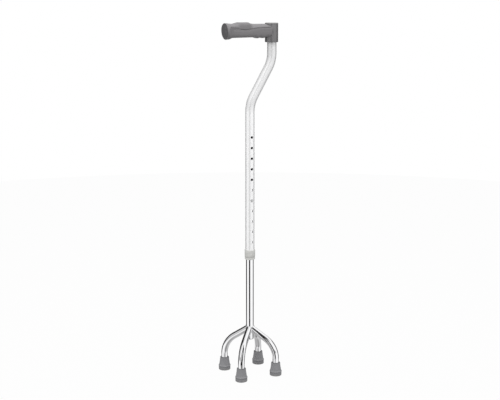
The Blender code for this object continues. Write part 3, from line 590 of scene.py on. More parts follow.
def drilledTube(size, low, high, holeHeights, halfCell, endPath=None):
    # a straight tube with holes in its -Y side, as plain and drilled lengths on top of each other; endPath
    # carries it on past its upper height, and a flat ring closes each end
    radius, wall = size["radius"], size["wall"]
    side = holeSkin["halfTurn"]
    front = np.linspace(-side, side, holeSkin["columns"] + 1)
    rest = np.arange(side, 2.0 * np.pi - side + heightError, 2.0 * side / holeSkin["columns"])
    whole = np.concatenate((front[:-1], rest[:-1]))
    levels = [low]
    for height in sorted(holeHeights):
        levels += [height - halfCell, height + halfCell]
    levels.append(high)
    made = []
    for level, above in zip(levels, levels[1:]):
        if above - level < heightError:
            continue
        middle = (level + above) / 2.0
        drilled = any(abs(middle - height) < heightError for height in holeHeights)
        steps = holeSkin["rows"] if drilled else max(2, round((above - level) / size["plainStep"]))
        path = uprightPath(np.linspace(level, above, steps + 1))
        for out in (radius, radius - wall):
            skin, unbent = tubeSkin(path, out, rest if drilled else whole, level)
            made.append(patch(skin, False, not drilled, unbent))
        if drilled:
            made.append(holePatch(radius, wall, size["holeRadius"], middle, halfCell))
    for out in (radius, radius - wall) if endPath else ():
        skin, unbent = tubeSkin(endPath, out, whole, high)
        made.append(patch(skin, False, True, unbent))
    bottom, top = (upright * low, upright, low), (upright * high, upright, high)
    if endPath:
        top = (endPath[0][-1], endPath[1][-1], high + endPath[2][-1])
    for point, direction, height in (bottom, top):
        path = (np.stack((point, point)), np.stack((direction, direction)), np.zeros(2))
        outer, outerUnbent = tubeSkin(path, radius, whole, height)
        inner, innerUnbent = tubeSkin(path, radius - wall, whole, height)
        unbent = np.stack((outerUnbent[0], innerUnbent[0]))
        made.append(patch(np.stack((outer[0], inner[0])), False, True, unbent))
    return made


# Upper tube

upper = {
    "radius": 11.1, "wall": 1.25, "low": 299.61, "top": 845.87,
    "topHole": 585.61, "pitch": 25.4, "holes": 11, "holeRadius": 3.0,
    "neckLow": 664.61, "neckHigh": 763.47, "neckOffset": 58.0, "bendRadius": 69.0,
    "plainStep": 4.0, "arcSteps": 26, "runSteps": 10,
}


def makeUpperTube():
    # a drilled tube, carried on along a path with the neck's two bends
    values = upper
    holeHeights = [values["topHole"] - values["pitch"] * number for number in range(values["holes"])]
    straightTop = values["topHole"] + values["pitch"] / 2.0
    corners = [(0.0, straightTop), (0.0, values["neckLow"]), (values["neckOffset"], values["neckHigh"]),
               (values["neckOffset"], values["top"])]
    neck = bentPath(corners, values["bendRadius"], values["arcSteps"], values["runSteps"])
    patches = drilledTube(values, values["low"], straightTop, holeHeights, values["pitch"] / 2.0, neck)
    addPiece("upperTube", patches, satinTube, "upper", "upper_tube")


makeUpperTube()


# Lower tube and its plug

lower = {
    "radius": 9.55, "wall": 1.5, "low": 88.01, "high": 470.01, "plainStep": 4.0,
    "buttonHeight": 433.21, "holeRadius": 3.0, "cell": 9.0,
    "plugEdge": 0.8, "plugDome": 2.6, "plugStem": 12.0, "gap": 0.3, "domeSteps": 12,
}


def makeLowerTube():
    # a drilled tube with the button's one hole
    values = lower
    patches = drilledTube(values, values["low"], values["high"], [values["buttonHeight"]], values["cell"])
    addPiece("lowerTube", patches, chromeTube, "base", "lower_tube")


def makePlug():
    # half an ellipsoid with a short straight edge under a stem, turned
    values = lower
    turn = np.linspace(0.0, math.pi / 2.0, values["domeSteps"])
    headTop = values["low"] - values["gap"]
    domeTop = headTop - values["plugEdge"]
    dome = np.stack((values["radius"] * np.sin(turn), domeTop - values["plugDome"] * np.cos(turn)), -1)
    stem = values["radius"] - values["wall"] - values["gap"]
    top = headTop + values["plugStem"]
    profile = np.concatenate((dome, [(values["radius"], headTop), (stem, headTop), (stem, top), (0.0, top)]))
    addPiece("basePlug", [turnedPatch(profile, closed=False)], chromeSolid, "base", "base_plug")


makeLowerTube()
makePlug()


# Legs

leg = {
    "radius": 8.0, "wall": 1.5, "spread": 66.47, "low": 6.3, "corner": 72.85, "top": 116.01,
    "slope": math.radians(33.0), "bendRadius": 58.0, "sides": 64, "arcSteps": 30, "runSteps": 8,
    "postRadius": 9.6, "mitreStart": 24.0, "mitreSteps": 6, "mitreGap": 0.1,
}
legTurns = {
    "Front_left": math.radians(-135.0), "Front_right": math.radians(-45.0),
    "Back_left": math.radians(135.0), "Back_right": math.radians(45.0),
}


def legReach(sideways):
    # how near the post's axis a line along the leg may come: the post's round, or the mitre to the next leg
    onPost = np.sqrt(np.maximum(leg["postRadius"] ** 2 - sideways**2, 0.0))
    return np.maximum(onPost, np.abs(sideways) + leg["mitreGap"])


def legPatch():
    # a circle carried up from the tip, over the knee and up the slope to the post, and back down as the bore
    values = leg
    corners = [(values["spread"], values["low"]), (values["spread"], values["corner"]), (0.0, values["top"])]
    whole = bentPath(corners, values["bendRadius"], values["arcSteps"], values["runSteps"])
    keep = whole[0][:, 0] > values["mitreStart"]
    path = tuple(each[keep] for each in whole)
    turns = np.linspace(0.0, 2.0 * np.pi, values["sides"], endpoint=False)
    shares = np.linspace(0.0, 1.0, values["mitreSteps"] + 1)[1:, None, None]
    grids, unbents = [], []
    for radius in (values["radius"], values["radius"] - values["wall"]):
        skin, unbent = tubeSkin(path, radius, turns, values["low"])
        last = skin[-1]
        run = (last[:, 0] - legReach(last[:, 1])) / math.cos(values["slope"])
        end = last + run[:, None] * path[1][-1]
        endUnbent = unbent[-1] + np.stack((0.0 * run, 0.0 * run, run), -1)
        grids.append(np.concatenate((skin, last + (end - last) * shares)))
        unbents.append(np.concatenate((unbent, unbent[-1] + (endUnbent - unbent[-1]) * shares)))
    grid = np.concatenate((grids[0], grids[1][::-1]))
    return patch(grid, True, True, np.concatenate((unbents[0], unbents[1][::-1])))


def makeLegs():
    # one leg's surface, turned to the four corners
    made = legPatch()
    for name, turn in legTurns.items():
        addPiece("leg" + name, [moved(made, turn)], chromeLeg, "base", "leg_" + name.lower())


makeLegs()


# Weld beads round the hub

weld = {
    "radius": 1.15, "loopRadius": 0.92, "sink": 0.35, "inset": 0.6, "wave": 2.1, "ripple": 0.16, "sides": 14,
    "drift": 0.4, "driftPace": 0.37, "ringSteps": 240, "loopSteps": 40, "returnSteps": 20,
}


def beadPatch(points, radius):
    # a rippled cord of metal: a circle carried along a closed line, its radius swelling once a wave length
    ahead = np.roll(points, -1, axis=0) - np.roll(points, 1, axis=0)
    ahead /= np.linalg.norm(ahead, axis=1)[:, None]
    outwards = points * np.array((1.0, 1.0, 0.0))
    outwards /= np.linalg.norm(outwards, axis=1)[:, None]
    side = np.cross(ahead, outwards)
    side /= np.linalg.norm(side, axis=1)[:, None]
    up = np.cross(side, ahead)
    length = np.concatenate(([0.0], np.cumsum(np.linalg.norm(np.diff(points, axis=0), axis=1))))
    waves = max(round(length[-1] / weld["wave"]), 1)
    phase = length / length[-1] * waves * 2.0 * np.pi
    drift = weld["drift"] * weld["ripple"] * np.sin(phase * weld["driftPace"] + 1.0)
    swell = 1.0 + weld["ripple"] * np.cos(phase) + drift
    turn = np.linspace(0.0, 2.0 * np.pi, weld["sides"], endpoint=False)[None, :, None]
    circle = np.cos(turn) * side[:, None, :] + np.sin(turn) * up[:, None, :]
    return patch(points[:, None, :] + (radius * swell)[:, None, None] * circle, True, True)


def makeWeld():
    # a ring where the legs' tops meet the post, one under them, and a loop along each mitre between two legs
    post, radius, slope = lower["radius"], leg["radius"], leg["slope"]
    sweep = np.linspace(0.0, 2.0 * np.pi, weld["ringSteps"], endpoint=False)
    turn = (sweep + math.pi / 4.0) % (math.pi / 2.0) - math.pi / 4.0  # from the nearest leg
    outward, sideways = post * np.cos(turn), post * np.sin(turn)
    middle = leg["top"] - outward * math.tan(slope)
    rise = np.sqrt(radius**2 - sideways**2) / math.cos(slope)
    place = sweep + math.pi / 4.0
    patches = []
    for sign in (1.0, -1.0):
        ring = np.stack((post * np.cos(place), post * np.sin(place), middle + sign * rise), -1)
        patches.append(beadPatch(ring, weld["radius"]))
    edge = radius * math.sqrt(2.0)
    swing = np.linspace(-1.0, 1.0, weld["loopSteps"] + 1) * math.pi / 2.0
    reach = post + (edge - post) * np.cos(swing)
    lean = leg["top"] - reach * math.sqrt(0.5) * math.tan(slope)
    height = lean + np.sign(swing) * np.sqrt(np.maximum(radius**2 - reach**2 / 2.0, 0.0)) / math.cos(slope)
    inner = np.linspace(height[-1], height[0], weld["returnSteps"] + 1)[1:-1]
    loopReach = np.concatenate((reach, np.full(len(inner), post - weld["inset"]))) - weld["sink"]
    loopHeight = np.concatenate((height, inner))
    for quarter in range(4):
        cosine, sine = math.cos(quarter * math.pi / 2.0), math.sin(quarter * math.pi / 2.0)
        loop = np.stack((loopReach * cosine, loopReach * sine, loopHeight), -1)
        patches.append(beadPatch(loop, weld["loopRadius"]))
    addPiece("weldBeads", patches, chromeSolid, "base", "leg_weld")


makeWeld()


# Rubber tips

tip = {
    "spacing": 94.0, "height": 32.0, "floor": 4.5, "bore": 8.3, "rim": 10.9, "lip": 14.9, "sole": 14.4,
    "soleHeight": 8.4, "soleRound": 0.9, "soleDraft": 0.05, "ledge": 0.4, "ledgeRound": 0.2,
    "bead": 1.7, "beadEnd": 0.6, "beadSwing": (-0.42, 0.5),  # half turns
    "flareInset": 1.4, "flarePower": 1.3, "rimRound": 0.7, "rimWall": 1.0, "mouthRound": 0.35,
    "treads": ((2.2, 4.2), (6.8, 9.2), (11.0, 12.2)), "treadDepth": (0.5, 1.2, 0.5), "treadSide": 0.2,
    "treadRound": 0.15, "seam": 0.12, "seamWidth": 0.03, "seamTurn": 0.6, "seamLow": 1.0,
    "sides": 128, "beadSteps": 12, "flareSteps": 21, "rimSteps": 5,
}


def tipProfile():
    # from the middle of the sole out over its tread rings, up the wall, round the bead's arc, in over the
    # flare's power curve, round the rim's quarter circle and down the bore
    values = tip
    side, edge, bead = values["treadSide"], values["treadRound"], values["bead"]
    corners = [(0.0, 0.0, 0.0)]
    for (inner, outer), depth in zip(values["treads"], values["treadDepth"]):
        corners += [(inner, 0.0, edge), (inner + side, depth, edge)]
        corners += [(outer - side, depth, edge), (outer, 0.0, edge)]
    corners += [
        (values["sole"], 0.0, values["soleRound"]),
        (values["sole"] + values["soleDraft"], values["soleHeight"], values["ledgeRound"]),
        (values["lip"], values["soleHeight"] + values["ledge"], 0.0),
    ]
    low = roundedProfile(corners)[:-1]
    middle = values["soleHeight"] + bead
    swing = np.linspace(*values["beadSwing"], values["beadSteps"]) * math.pi
    beadArc = np.stack((values["lip"] - bead * (1.0 - np.cos(swing)), middle + bead * np.sin(swing)), -1)
    share = np.linspace(0.0, 1.0, values["flareSteps"] + 1)[1:]
    flareLow, flareHigh = middle + bead, values["height"] - values["rimRound"]
    shoulder = values["lip"] - values["flareInset"]
    flare = np.stack((values["rim"] + (shoulder - values["rim"]) * (1.0 - share) ** values["flarePower"],
                      flareLow + (flareHigh - flareLow) * share), -1)
    curl = np.linspace(0.0, math.pi / 2.0, values["rimSteps"] + 1)[1:]
    rim = np.stack((values["rim"] - values["rimRound"] * (1.0 - np.cos(curl)),
                    flareHigh + values["rimRound"] * np.sin(curl)), -1)
    inside = roundedProfile([
        (values["rim"] - values["rimWall"], values["height"], 0.0),
        (values["bore"], values["height"], values["mouthRound"]),
        (values["bore"], values["floor"], 0.0), (0.0, values["floor"], 0.0),
    ])[1:]
    beadArc = beadArc[beadArc[:, 0] > values["sole"] - values["beadEnd"]]
    return np.concatenate((low, beadArc, flare, rim, inside))


def makeTips():
    # the profile turned, with a fine parting line that stands out along two sides of the mould
    values = tip
    made = turnedPatch(tipProfile(), values["sides"], False)
    points = made["points"]
    turn, out = np.arctan2(points[:, 1], points[:, 0]), np.hypot(points[:, 0], points[:, 1])
    outer = (out > values["rim"] - values["rimWall"]) & (points[:, 2] > values["seamLow"])
    away = np.minimum(np.abs(turn), np.pi - np.abs(turn)) / values["seamWidth"]
    ridge = np.exp(-(away**2)) * outer * values["seam"]
    made = reshaped(made, points + ridge[:, None] * np.stack((np.cos(turn), np.sin(turn), 0.0 * turn), -1))
    half = values["spacing"] / 2.0
    finish = tipFinish("tipRubber", values["height"] * mm)
    for name, turn in legTurns.items():
        place = (math.copysign(half, math.cos(turn)), math.copysign(half, math.sin(turn)), 0.0)
        shaped = moved(made, turn + values["seamTurn"], place)
        addPiece("tip" + name, [shaped], finish, "base", "foot_" + name.lower())


makeTips()


# Snap button

button = {
    "radius": 2.7, "tip": 12.5, "dome": 1.3, "domePower": 0.8, "flange": 3.7, "flangeThickness": 1.2,
    "height": 433.21, "bore": 8.05, "gap": 0.3, "tail": 1.5, "tailReach": 1.9,
    "sides": 48, "domeSteps": 12,
}


def makeButton():
    # a domed pin on a thin flange with a short tail, turned about a level line towards -Y
    values = button
    flangeOut = math.sqrt(values["bore"] ** 2 - values["flange"] ** 2) - values["gap"]
    flangeIn = flangeOut - values["flangeThickness"]
    tailEnd = flangeIn - values["tailReach"]
    turn = np.linspace(math.pi / 2.0, 0.0, values["domeSteps"])
    dome = np.stack((values["radius"] * np.sin(turn) ** values["domePower"],
                     values["tip"] - values["dome"] * (1.0 - np.cos(turn))), -1)
    low = [(0.0, tailEnd), (values["tail"], tailEnd), (values["tail"], flangeIn),
           (values["flange"], flangeIn), (values["flange"], flangeOut), (values["radius"], flangeOut)]
    made = turnedPatch(np.concatenate((low, dome)), values["sides"], False)
    made = laid(made, (1.0, 0.0, 0.0), (0.0, 0.0, 1.0), (0.0, -1.0, 0.0), (0.0, 0.0, values["height"]))
    addPiece("snapButtonPin", [made], zinc, "button", "snap_button")


makeButton()


# Collar and lock ring

collar = {
    "radius": 12.7, "low": 294.61, "high": 311.41, "round": 0.7, "bore": 11.4, "boreRound": 0.3,
    "seat": 299.31, "seatThickness": 0.9, "running": 9.95, "entry": 10.85, "entryRound": 0.2,
    "snapDepth": 0.45, "snapLow": 296.51,
    "step": ((301.6, 301.85), (302.15, 302.4)), "stepDepth": 0.22, "stepRound": (0.15, 0.12),
}
lockRing = {
    "radius": 12.25, "low": 287.61, "high": 294.31, "round": 0.7, "bore": 9.95, "boreRound": 0.2,
    "grooveRadius": 11.05, "grooveLow": 289.46, "grooveHigh": 292.46,
    "spigot": 10.55, "spigotTop": 298.11, "snapDepth": 0.45, "snapLow": 296.81, "snapHigh": 297.66,
    "ribs": 16, "ribSteps": 12, "ribDepth": 0.45, "ribEdge": (0.15, 0.9), "ribInset": 1.2, "ribEnd": 0.4,
    "ribFade": 0.8, "ribAbove": 0.1,
}


def makeCollar():
    # a plain sleeve with soft edges and a shallow parting step at its middle, turned
    values = collar
    radius, waist = values["radius"], values["radius"] - values["stepDepth"]
    (lowOut, lowIn), (highIn, highOut) = values["step"]
    outerRound, innerRound = values["stepRound"]
    groove, under = values["entry"] + values["snapDepth"], values["seat"] - values["seatThickness"]
    corners = [
        (values["entry"], values["low"], values["entryRound"]), (radius, values["low"], values["round"]),
        (radius, lowOut, outerRound), (waist, lowIn, innerRound), (waist, highIn, innerRound),
        (radius, highOut, outerRound), (radius, values["high"], values["round"]),
        (values["bore"], values["high"], values["boreRound"]), (values["bore"], values["seat"], 0.0),
        (values["running"], values["seat"], 0.0), (values["running"], under, 0.0), (groove, under, 0.0),
        (groove, values["snapLow"], 0.0), (values["entry"], values["snapLow"], 0.0),
    ]
    made = turnedPatch(roundedProfile(corners))
    addPiece("collarSleeve", [made], collarPlastic, "upper", "collar_sleeve")


def makeRing():
    # a turned ring whose rim is drawn in between its ribs by a wave with flat tops
    values = lockRing
    bore, spigot, high = values["bore"], values["spigot"], values["high"]
    snap = spigot + values["snapDepth"]
    corners = [
        (bore, values["low"], values["boreRound"]), (values["radius"], values["low"], values["round"]),
        (values["radius"], high, values["round"]), (spigot, high, 0.0), (spigot, values["snapLow"], 0.0),
        (snap, values["snapLow"], 0.0), (snap, values["snapHigh"], 0.0), (spigot, values["spigotTop"], 0.0),
        (bore, values["spigotTop"], 0.0), (bore, values["grooveHigh"], 0.0),
        (values["grooveRadius"], values["grooveHigh"], 0.0),
        (values["grooveRadius"], values["grooveLow"], 0.0), (bore, values["grooveLow"], 0.0),
    ]
    made = turnedPatch(roundedProfile(corners), values["ribs"] * values["ribSteps"])
    points = made["points"]
    radius, turn = np.hypot(points[:, 0], points[:, 1]), np.arctan2(points[:, 1], points[:, 0])
    height, end, fade = points[:, 2], values["ribEnd"], values["ribFade"]
    valley = falling(np.cos(values["ribs"] * turn), *values["ribEdge"])
    onRim = height < high + values["ribAbove"]
    rim = smoothStep((radius - values["radius"] + values["ribInset"]) / fade) * onRim
    ends = smoothStep((height - values["low"] - end) / fade) * smoothStep((high - end - height) / fade)
    factor = 1.0 - values["ribDepth"] * valley * rim * ends / radius
    made = reshaped(made, points * np.stack((factor, factor, np.ones(len(factor))), -1))
    addPiece("lockRing", [made], collarPlastic, "ring", "lock_ring")


makeCollar()
makeRing()


# Handle

handle = {
    "socketX": 57.1, "socketRadius": 15.7, "socketLow": 807.07, "socketHigh": 849.57, "lowRound": 1.3,
    "highRound": 0.25, "mouth": 11.7, "mouthRound": 0.5, "lip": 10.5, "lipHeight": 1.2,
    "tubeTop": 846.17, "roofHole": 9.0, "axis": 834.67, "gripGap": 0.15,
    "arborRadius": 10.0, "arborBore": 7.0, "arborEnd": -59.1, "arborSink": (0.4, 0.6), "blind": 38.4,
    "capTop": 852.67, "capLow": 849.87, "capStub": 2.0, "stubRound": 0.3, "capRound": 2.3, "gap": 0.3,
    "sides": 120, "arborSides": 64, "capSteps": 7,
}
grip = {  # distances are from the free end; a pair is where a smooth step starts or ends, and how long it is
    "reach": 65.1, "height": 31.0, "width": 28.0, "widening": 1.25, "widenFrom": (84.0, 26.0), "taper": 0.7,
    "sidePower": 5.0, "saddlePower": 3.6, "shoulderPower": 1.5,
    "saddleFrom": (27.0, 11.0), "saddleTo": (66.0, 8.0),
    "faceTilt": math.radians(2.7), "flange": 19.0, "drop": 1.1, "rounding": 1.2, "flare": 17.5,
    "roundFrom": (0.68, 0.3), "shoulderLift": 5.0, "shoulderTo": (38.0, 12.0),
    "ridgeFrom": (60.0, 6.0), "ridgeTo": (90.0, 10.0),
    "swell": 3.9, "swellRise": ((0.2, 6.0, 8.0), (0.8, 16.0, 17.0)),
    "swellFall": ((0.55, 62.5, 5.0), (0.45, 75.5, 15.0)),
    "bumps": (2.4, 2.2), "bumpPitch": 14.5, "bumpWidth": 16.5, "bumpStart": 81.5,
    "bore": 10.3, "boreMiddle": 60.0, "capSeat": 17.3, "capDepth": 2.3, "seatEdge": (0.3, 0.25),
    "sides": 224, "stations": 220, "curlSteps": 8, "endRound": 1.8, "crowd": 0.5, "sharpAngle": 46.0,
}
crease = {  # the seam under the palm saddle, with a lip over it and a hollow under it
    "height": 4.4, "rise": 2.6, "riseFrom": (60.0, 32.0), "dip": 1.8, "dipAt": (47.0, 17.0),
    "depth": 0.95, "width": 0.9, "lip": 0.3, "lipAt": (2.4, 1.3), "hollow": 0.45, "hollowAt": (1.2, 2.6),
    "start": (12.0, 10.0), "end": (118.0, 8.0), "least": 0.45, "palm": 0.55, "palmAt": (46.0, 12.0),
    "socket": 0.8, "socketFrom": (84.0, 6.0), "hollowLoss": 0.6, "hollowLossFrom": (80.0, 10.0), "clear": 3.0,
}
gripSkin = gripFinish("gripRubber", handle["axis"] * mm)


def gripSwell(distance):
    # the palm swell's share of its height: a low start, a steep rise, a flat top, a step down and a slow end
    up = sum(share * rising(distance, *step) for share, *step in grip["swellRise"])
    down = sum(share * falling(distance, *step) for share, *step in grip["swellFall"])
    return up * down


def creaseLine(distance):
    # height of the seam: a bell curve dips it under the swell, and a smooth step lifts it towards the socket
    middle, width = crease["dipAt"]
    dip = crease["dip"] * np.exp(-(((distance - middle) / width) ** 2))
    return crease["height"] + crease["rise"] * rising(distance, *crease["riseFrom"]) - dip


def gripSection(distance):
    # top, bottom, half width, height of the widest place, squareness above and below it, and flare of the
    # grip at a distance from its free end: smooth steps build the flare, the swell and the two finger bumps
    values = grip
    flare = falling(distance, values["flare"] + values["rounding"], values["flare"])
    top = values["height"] / 2.0 + values["swell"] * gripSwell(distance)
    bottom = values["height"] / 2.0 + values["taper"] * smoothStep(1.0 - distance / values["bumpStart"])
    for number, height in enumerate(values["bumps"]):
        away = np.abs(distance - values["bumpStart"] - number * values["bumpPitch"])
        bottom = bottom + height * smoothStep(1.0 - away / (values["bumpWidth"] / 2.0))
    rounding = np.clip(1.0 - distance / values["rounding"], 0.0, 1.0)
    flange = values["flange"] - values["rounding"] * (1.0 - np.sqrt(1.0 - rounding**2))
    top = top + (flange - values["drop"] - top) * flare
    bottom = bottom + (flange + values["drop"] - bottom) * flare
    halfWidth = values["width"] / 2.0 + values["widening"] * rising(distance, *values["widenFrom"])
    halfWidth = halfWidth + (flange - halfWidth) * flare
    saddle = rising(distance, *values["saddleFrom"]) * falling(distance, *values["saddleTo"])
    above = values["shoulderPower"] + (values["saddlePower"] - values["shoulderPower"]) * saddle
    near = rising(flare, *values["roundFrom"])  # the section turns round only close to the face
    above = above + (2.0 - above) * near
    below = values["sidePower"] + (2.0 - values["sidePower"]) * near
    middle = creaseLine(distance) + values["shoulderLift"] * falling(distance, *values["shoulderTo"])
    middle = middle + rising(distance, *values["ridgeFrom"]) * falling(distance, *values["ridgeTo"])
    return top, bottom, halfWidth, middle * (1.0 - near), above, below, flare


def gripRing(distance, turn):
    # two halves of superellipses that meet at the widest place: the height goes with the turn's sine, and the
    # width is (1 - sine^power)^(1/power); leaned with the face where the grip flares
    top, bottom, halfWidth, middle, above, below, flare = gripSection(distance)
    rise = np.sin(turn)
    power = np.where(rise > 0.0, above, below)
    share = (1.0 - np.minimum(np.abs(rise), 1.0) ** power) ** (1.0 / power)
    sideways = np.sign(np.cos(turn)) * share * halfWidth
    height = middle + rise * np.where(rise > 0.0, top - middle, bottom + middle)
    return distance - grip["reach"] - height * math.tan(grip["faceTilt"]) * flare, sideways, height


def gripCrease(distance, height):
    # how far the skin stands out at the seam: bell curves for the groove, its lip and the hollow under them;
    # the groove is deepest under the swell and near the socket, and all fade out at the ends
    values = crease
    middle, width = values["palmAt"]
    palm = values["palm"] * np.exp(-(((distance - middle) / width) ** 6))
    start = rising(distance, *values["start"])
    strength = values["least"] + palm + values["socket"] * rising(distance, *values["socketFrom"])
    strength = strength * start * falling(distance, *values["end"])
    above = height - creaseLine(distance)
    away = above / values["width"]
    lipHeight, lipWidth = values["lipAt"]
    hollowDepth, hollowWidth = values["hollowAt"]
    groove = np.exp(-(away**2)) * values["depth"]
    lip = np.exp(-(((away - lipHeight) / lipWidth) ** 2)) * values["lip"]
    hollow = np.exp(-(((above + hollowDepth) / hollowWidth) ** 2)) * values["hollow"]
    fade = start * (1.0 - values["hollowLoss"] * rising(distance, *values["hollowLossFrom"]))
    return strength * (lip - groove) - fade * hollow


def makeGrip():
    # outer skin from the face to the socket, then back along the bore, the cap's recess and the face
    values = grip
    turn = np.linspace(0.0, 2.0 * np.pi, values["sides"], endpoint=False)[None, :]
    turn = turn - 0.5 * values["crowd"] * np.sin(2.0 * turn)  # more points at the sides, where the seam runs
    curl = np.linspace(0.0, math.pi / 2.0, values["curlSteps"] + 1)[:-1]
    near = values["rounding"] * (1.0 - np.cos(curl))
    length = handle["socketX"] + values["reach"]
    far = np.linspace(values["rounding"], length, values["stations"])
    distance = np.concatenate((near, far))[:, None] + 0.0 * turn
    y = gripRing(distance, turn)[1]
    # the skin ends on the socket's round: stations past the flare are drawn in to reach it
    wall = handle["socketRadius"] + handle["gripGap"]
    end = handle["socketX"] - np.sqrt(np.maximum(wall**2 - y[-1] ** 2, 0.0)) + values["reach"]
    flared = values["rounding"] + values["flare"]
    scaled = flared + (distance - flared) * (end[None, :] - flared) / (length - flared)
    distance = np.where(distance > flared, scaled, distance)
    x, y, z = gripRing(distance, turn)
    # its end curls in to the socket by a quarter circle
    left = np.clip(1.0 - (end[None, :] - distance) / values["endRound"], 0.0, 1.0)
    shrink = values["endRound"] * (1.0 - np.sqrt(1.0 - left**2))
    change = gripCrease(distance, z) * (np.abs(y) > crease["clear"]) - shrink
    factor = 1.0 + change / np.hypot(y, z)
    skin = np.stack((x, y * factor, z * factor), -1)

    def inner(radius, distances):
        # plain rings inside the sleeve
        side, up = radius * np.cos(turn[0]), radius * np.sin(turn[0])
        return np.stack([np.stack((0.0 * side + each - values["reach"], side, up), -1) for each in distances])

    boreEnd = inner(values["bore"], [0.0])
    boreEnd[0, :, 0] = handle["socketX"] - np.sqrt(wall**2 - boreEnd[0, :, 1] ** 2)
    edgeDepth, edgeWidth = values["seatEdge"]
    bore = np.concatenate((boreEnd, inner(values["bore"], [values["boreMiddle"], values["capDepth"]])))
    seat = inner(values["capSeat"], [values["capDepth"], edgeDepth])
    recess = np.concatenate((bore[-1:], seat, inner(values["capSeat"] + edgeWidth, [0.0])))
    recess[1:, :, 2] -= values["drop"]
    recess[:, :, 0] -= recess[:, :, 2] * math.tan(values["faceTilt"])
    grid = np.concatenate((skin, bore[:-1], recess))
    grid[:, :, 2] += handle["axis"]
    made = patch(grid, True, True)
    addPiece("gripSleeve", [made], gripSkin, "upper", "handle_grip", values["sharpAngle"])


def makeSocket():
    # a turned cup, open below, with its roof under the cap; its arbor of two radii runs inside the grip
    values = handle
    x, radius = values["socketX"], values["socketRadius"]
    corners = [
        (values["lip"], values["socketLow"] + values["lipHeight"], 0.0),
        (values["mouth"], values["socketLow"], values["mouthRound"]),
        (radius, values["socketLow"], values["lowRound"]),
        (radius, values["socketHigh"], values["highRound"]),
        (values["roofHole"], values["socketHigh"], 0.0), (values["roofHole"], values["tubeTop"], 0.0),
        (values["lip"], values["tubeTop"], 0.0),
    ]
    cup = moved(turnedPatch(roundedProfile(corners), values["sides"]), 0.0, (x, 0.0, 0.0))
    sides = values["arborSides"]
    turn = np.linspace(0.0, 2.0 * np.pi, sides, endpoint=False)
    skinSink, rootSink = values["arborSink"]

    def ring(radius, place):
        # a circle across the arbor at one place or at one place for each point
        return np.stack((place + 0.0 * turn, radius * np.cos(turn), radius * np.sin(turn)), -1)

    outer, hollow = values["arborRadius"], values["arborBore"]
    onSocket = x - np.sqrt(radius**2 - (outer * np.cos(turn)) ** 2) + skinSink
    arbor = np.stack([
        ring(0.0, x - radius + rootSink), ring(outer, onSocket), ring(outer, values["arborEnd"]),
        ring(hollow, values["arborEnd"]), ring(hollow, values["blind"]), ring(0.0, values["blind"]),
    ])
    arbor[:, :, 2] += values["axis"]
    made = [cup, patch(arbor, False, True)]
    addPiece("socketCup", made, handlePlastic, "upper", "handle_core")


def makeLid():
    # a shallow turned lid with a soft rim and a stub that plugs the roof
    values = handle
    stub, low = values["roofHole"] - values["gap"], values["capLow"] - values["capStub"]
    corners = [
        (0.0, low, 0.0), (stub, low, values["stubRound"]), (stub, values["capLow"], 0.0),
        (values["socketRadius"], values["capLow"], values["highRound"]),
        (values["socketRadius"], values["capTop"], values["capRound"]), (0.0, values["capTop"], 0.0),
    ]
    lid = turnedPatch(roundedProfile(corners, values["capSteps"]), values["sides"], False)
    lid = moved(lid, 0.0, (values["socketX"], 0.0, 0.0))
    addPiece("socketLid", [lid], handlePlastic, "upper", "socket_cap")


endCap = {
    "gap": 0.3, "stem": 6.7, "stemEnd": -16.0, "stemRound": 0.5, "back": -2.0, "backRound": 0.2, "rim": 0.2,
    "rimRound": 0.5, "groove": ((0.94, 0.12), (0.925, 0.08)), "grooveFloor": -0.1, "dome": 0.9, "crown": 0.55,
    "headEnd": 1.0, "headRadius": 8.0, "leanEnd": 3.0, "domeSteps": 16,
}


def makeEndCap():
    # a shallow parabolic dome with a stepped rim, on a stem inside the arbor, turned about the grip's own
    # line and leaned with the face
    values = endCap
    seat, front = grip["capSeat"] - values["gap"], values["rim"]
    (outer, outerRound), (inner, innerRound) = values["groove"]
    share = np.linspace(1.0, 0.0, values["domeSteps"])
    dome = np.stack((seat * values["dome"] * share, front + values["crown"] * (1.0 - share**2)), -1)
    corners = [
        (0.0, values["stemEnd"], 0.0), (values["stem"], values["stemEnd"], values["stemRound"]),
        (values["stem"], values["back"], 0.0), (seat, values["back"], values["backRound"]),
        (seat, front, values["rimRound"]), (seat * outer, front, outerRound),
        (seat * inner, values["grooveFloor"], innerRound),
        (seat * values["dome"], values["grooveFloor"], 0.0),
    ]
    made = turnedPatch(np.concatenate((roundedProfile(corners), dome)), closed=False)
    made = laid(made, (0.0, 1.0, 0.0), (0.0, 0.0, 1.0), (-1.0, 0.0, 0.0), (0.0, 0.0, 0.0))
    x, y, z = made["points"].T
    head = (x < values["headEnd"]) | (np.hypot(y, z) > values["headRadius"])
    height = z - grip["drop"] * head
    lean = height * math.tan(grip["faceTilt"]) * (x < values["leanEnd"])
    made = reshaped(made, np.stack((x - lean - grip["reach"], y, height + handle["axis"]), -1))
    addPiece("endCap", [made], endCapPlastic, "upper", "grip_end_cap")


screw = {
    "x": 58.0, "height": 821.07, "head": 3.4, "headLow": 14.8, "headHigh": 16.6, "crownDrop": 1.05,
    "shank": 1.7, "inner": 7.65, "crownSteps": 26,
    "slotDepth": 0.9, "slotSide": (0.52, 0.2), "slotEnd": (1.9, 0.35), "slotAbove": 0.3,
}


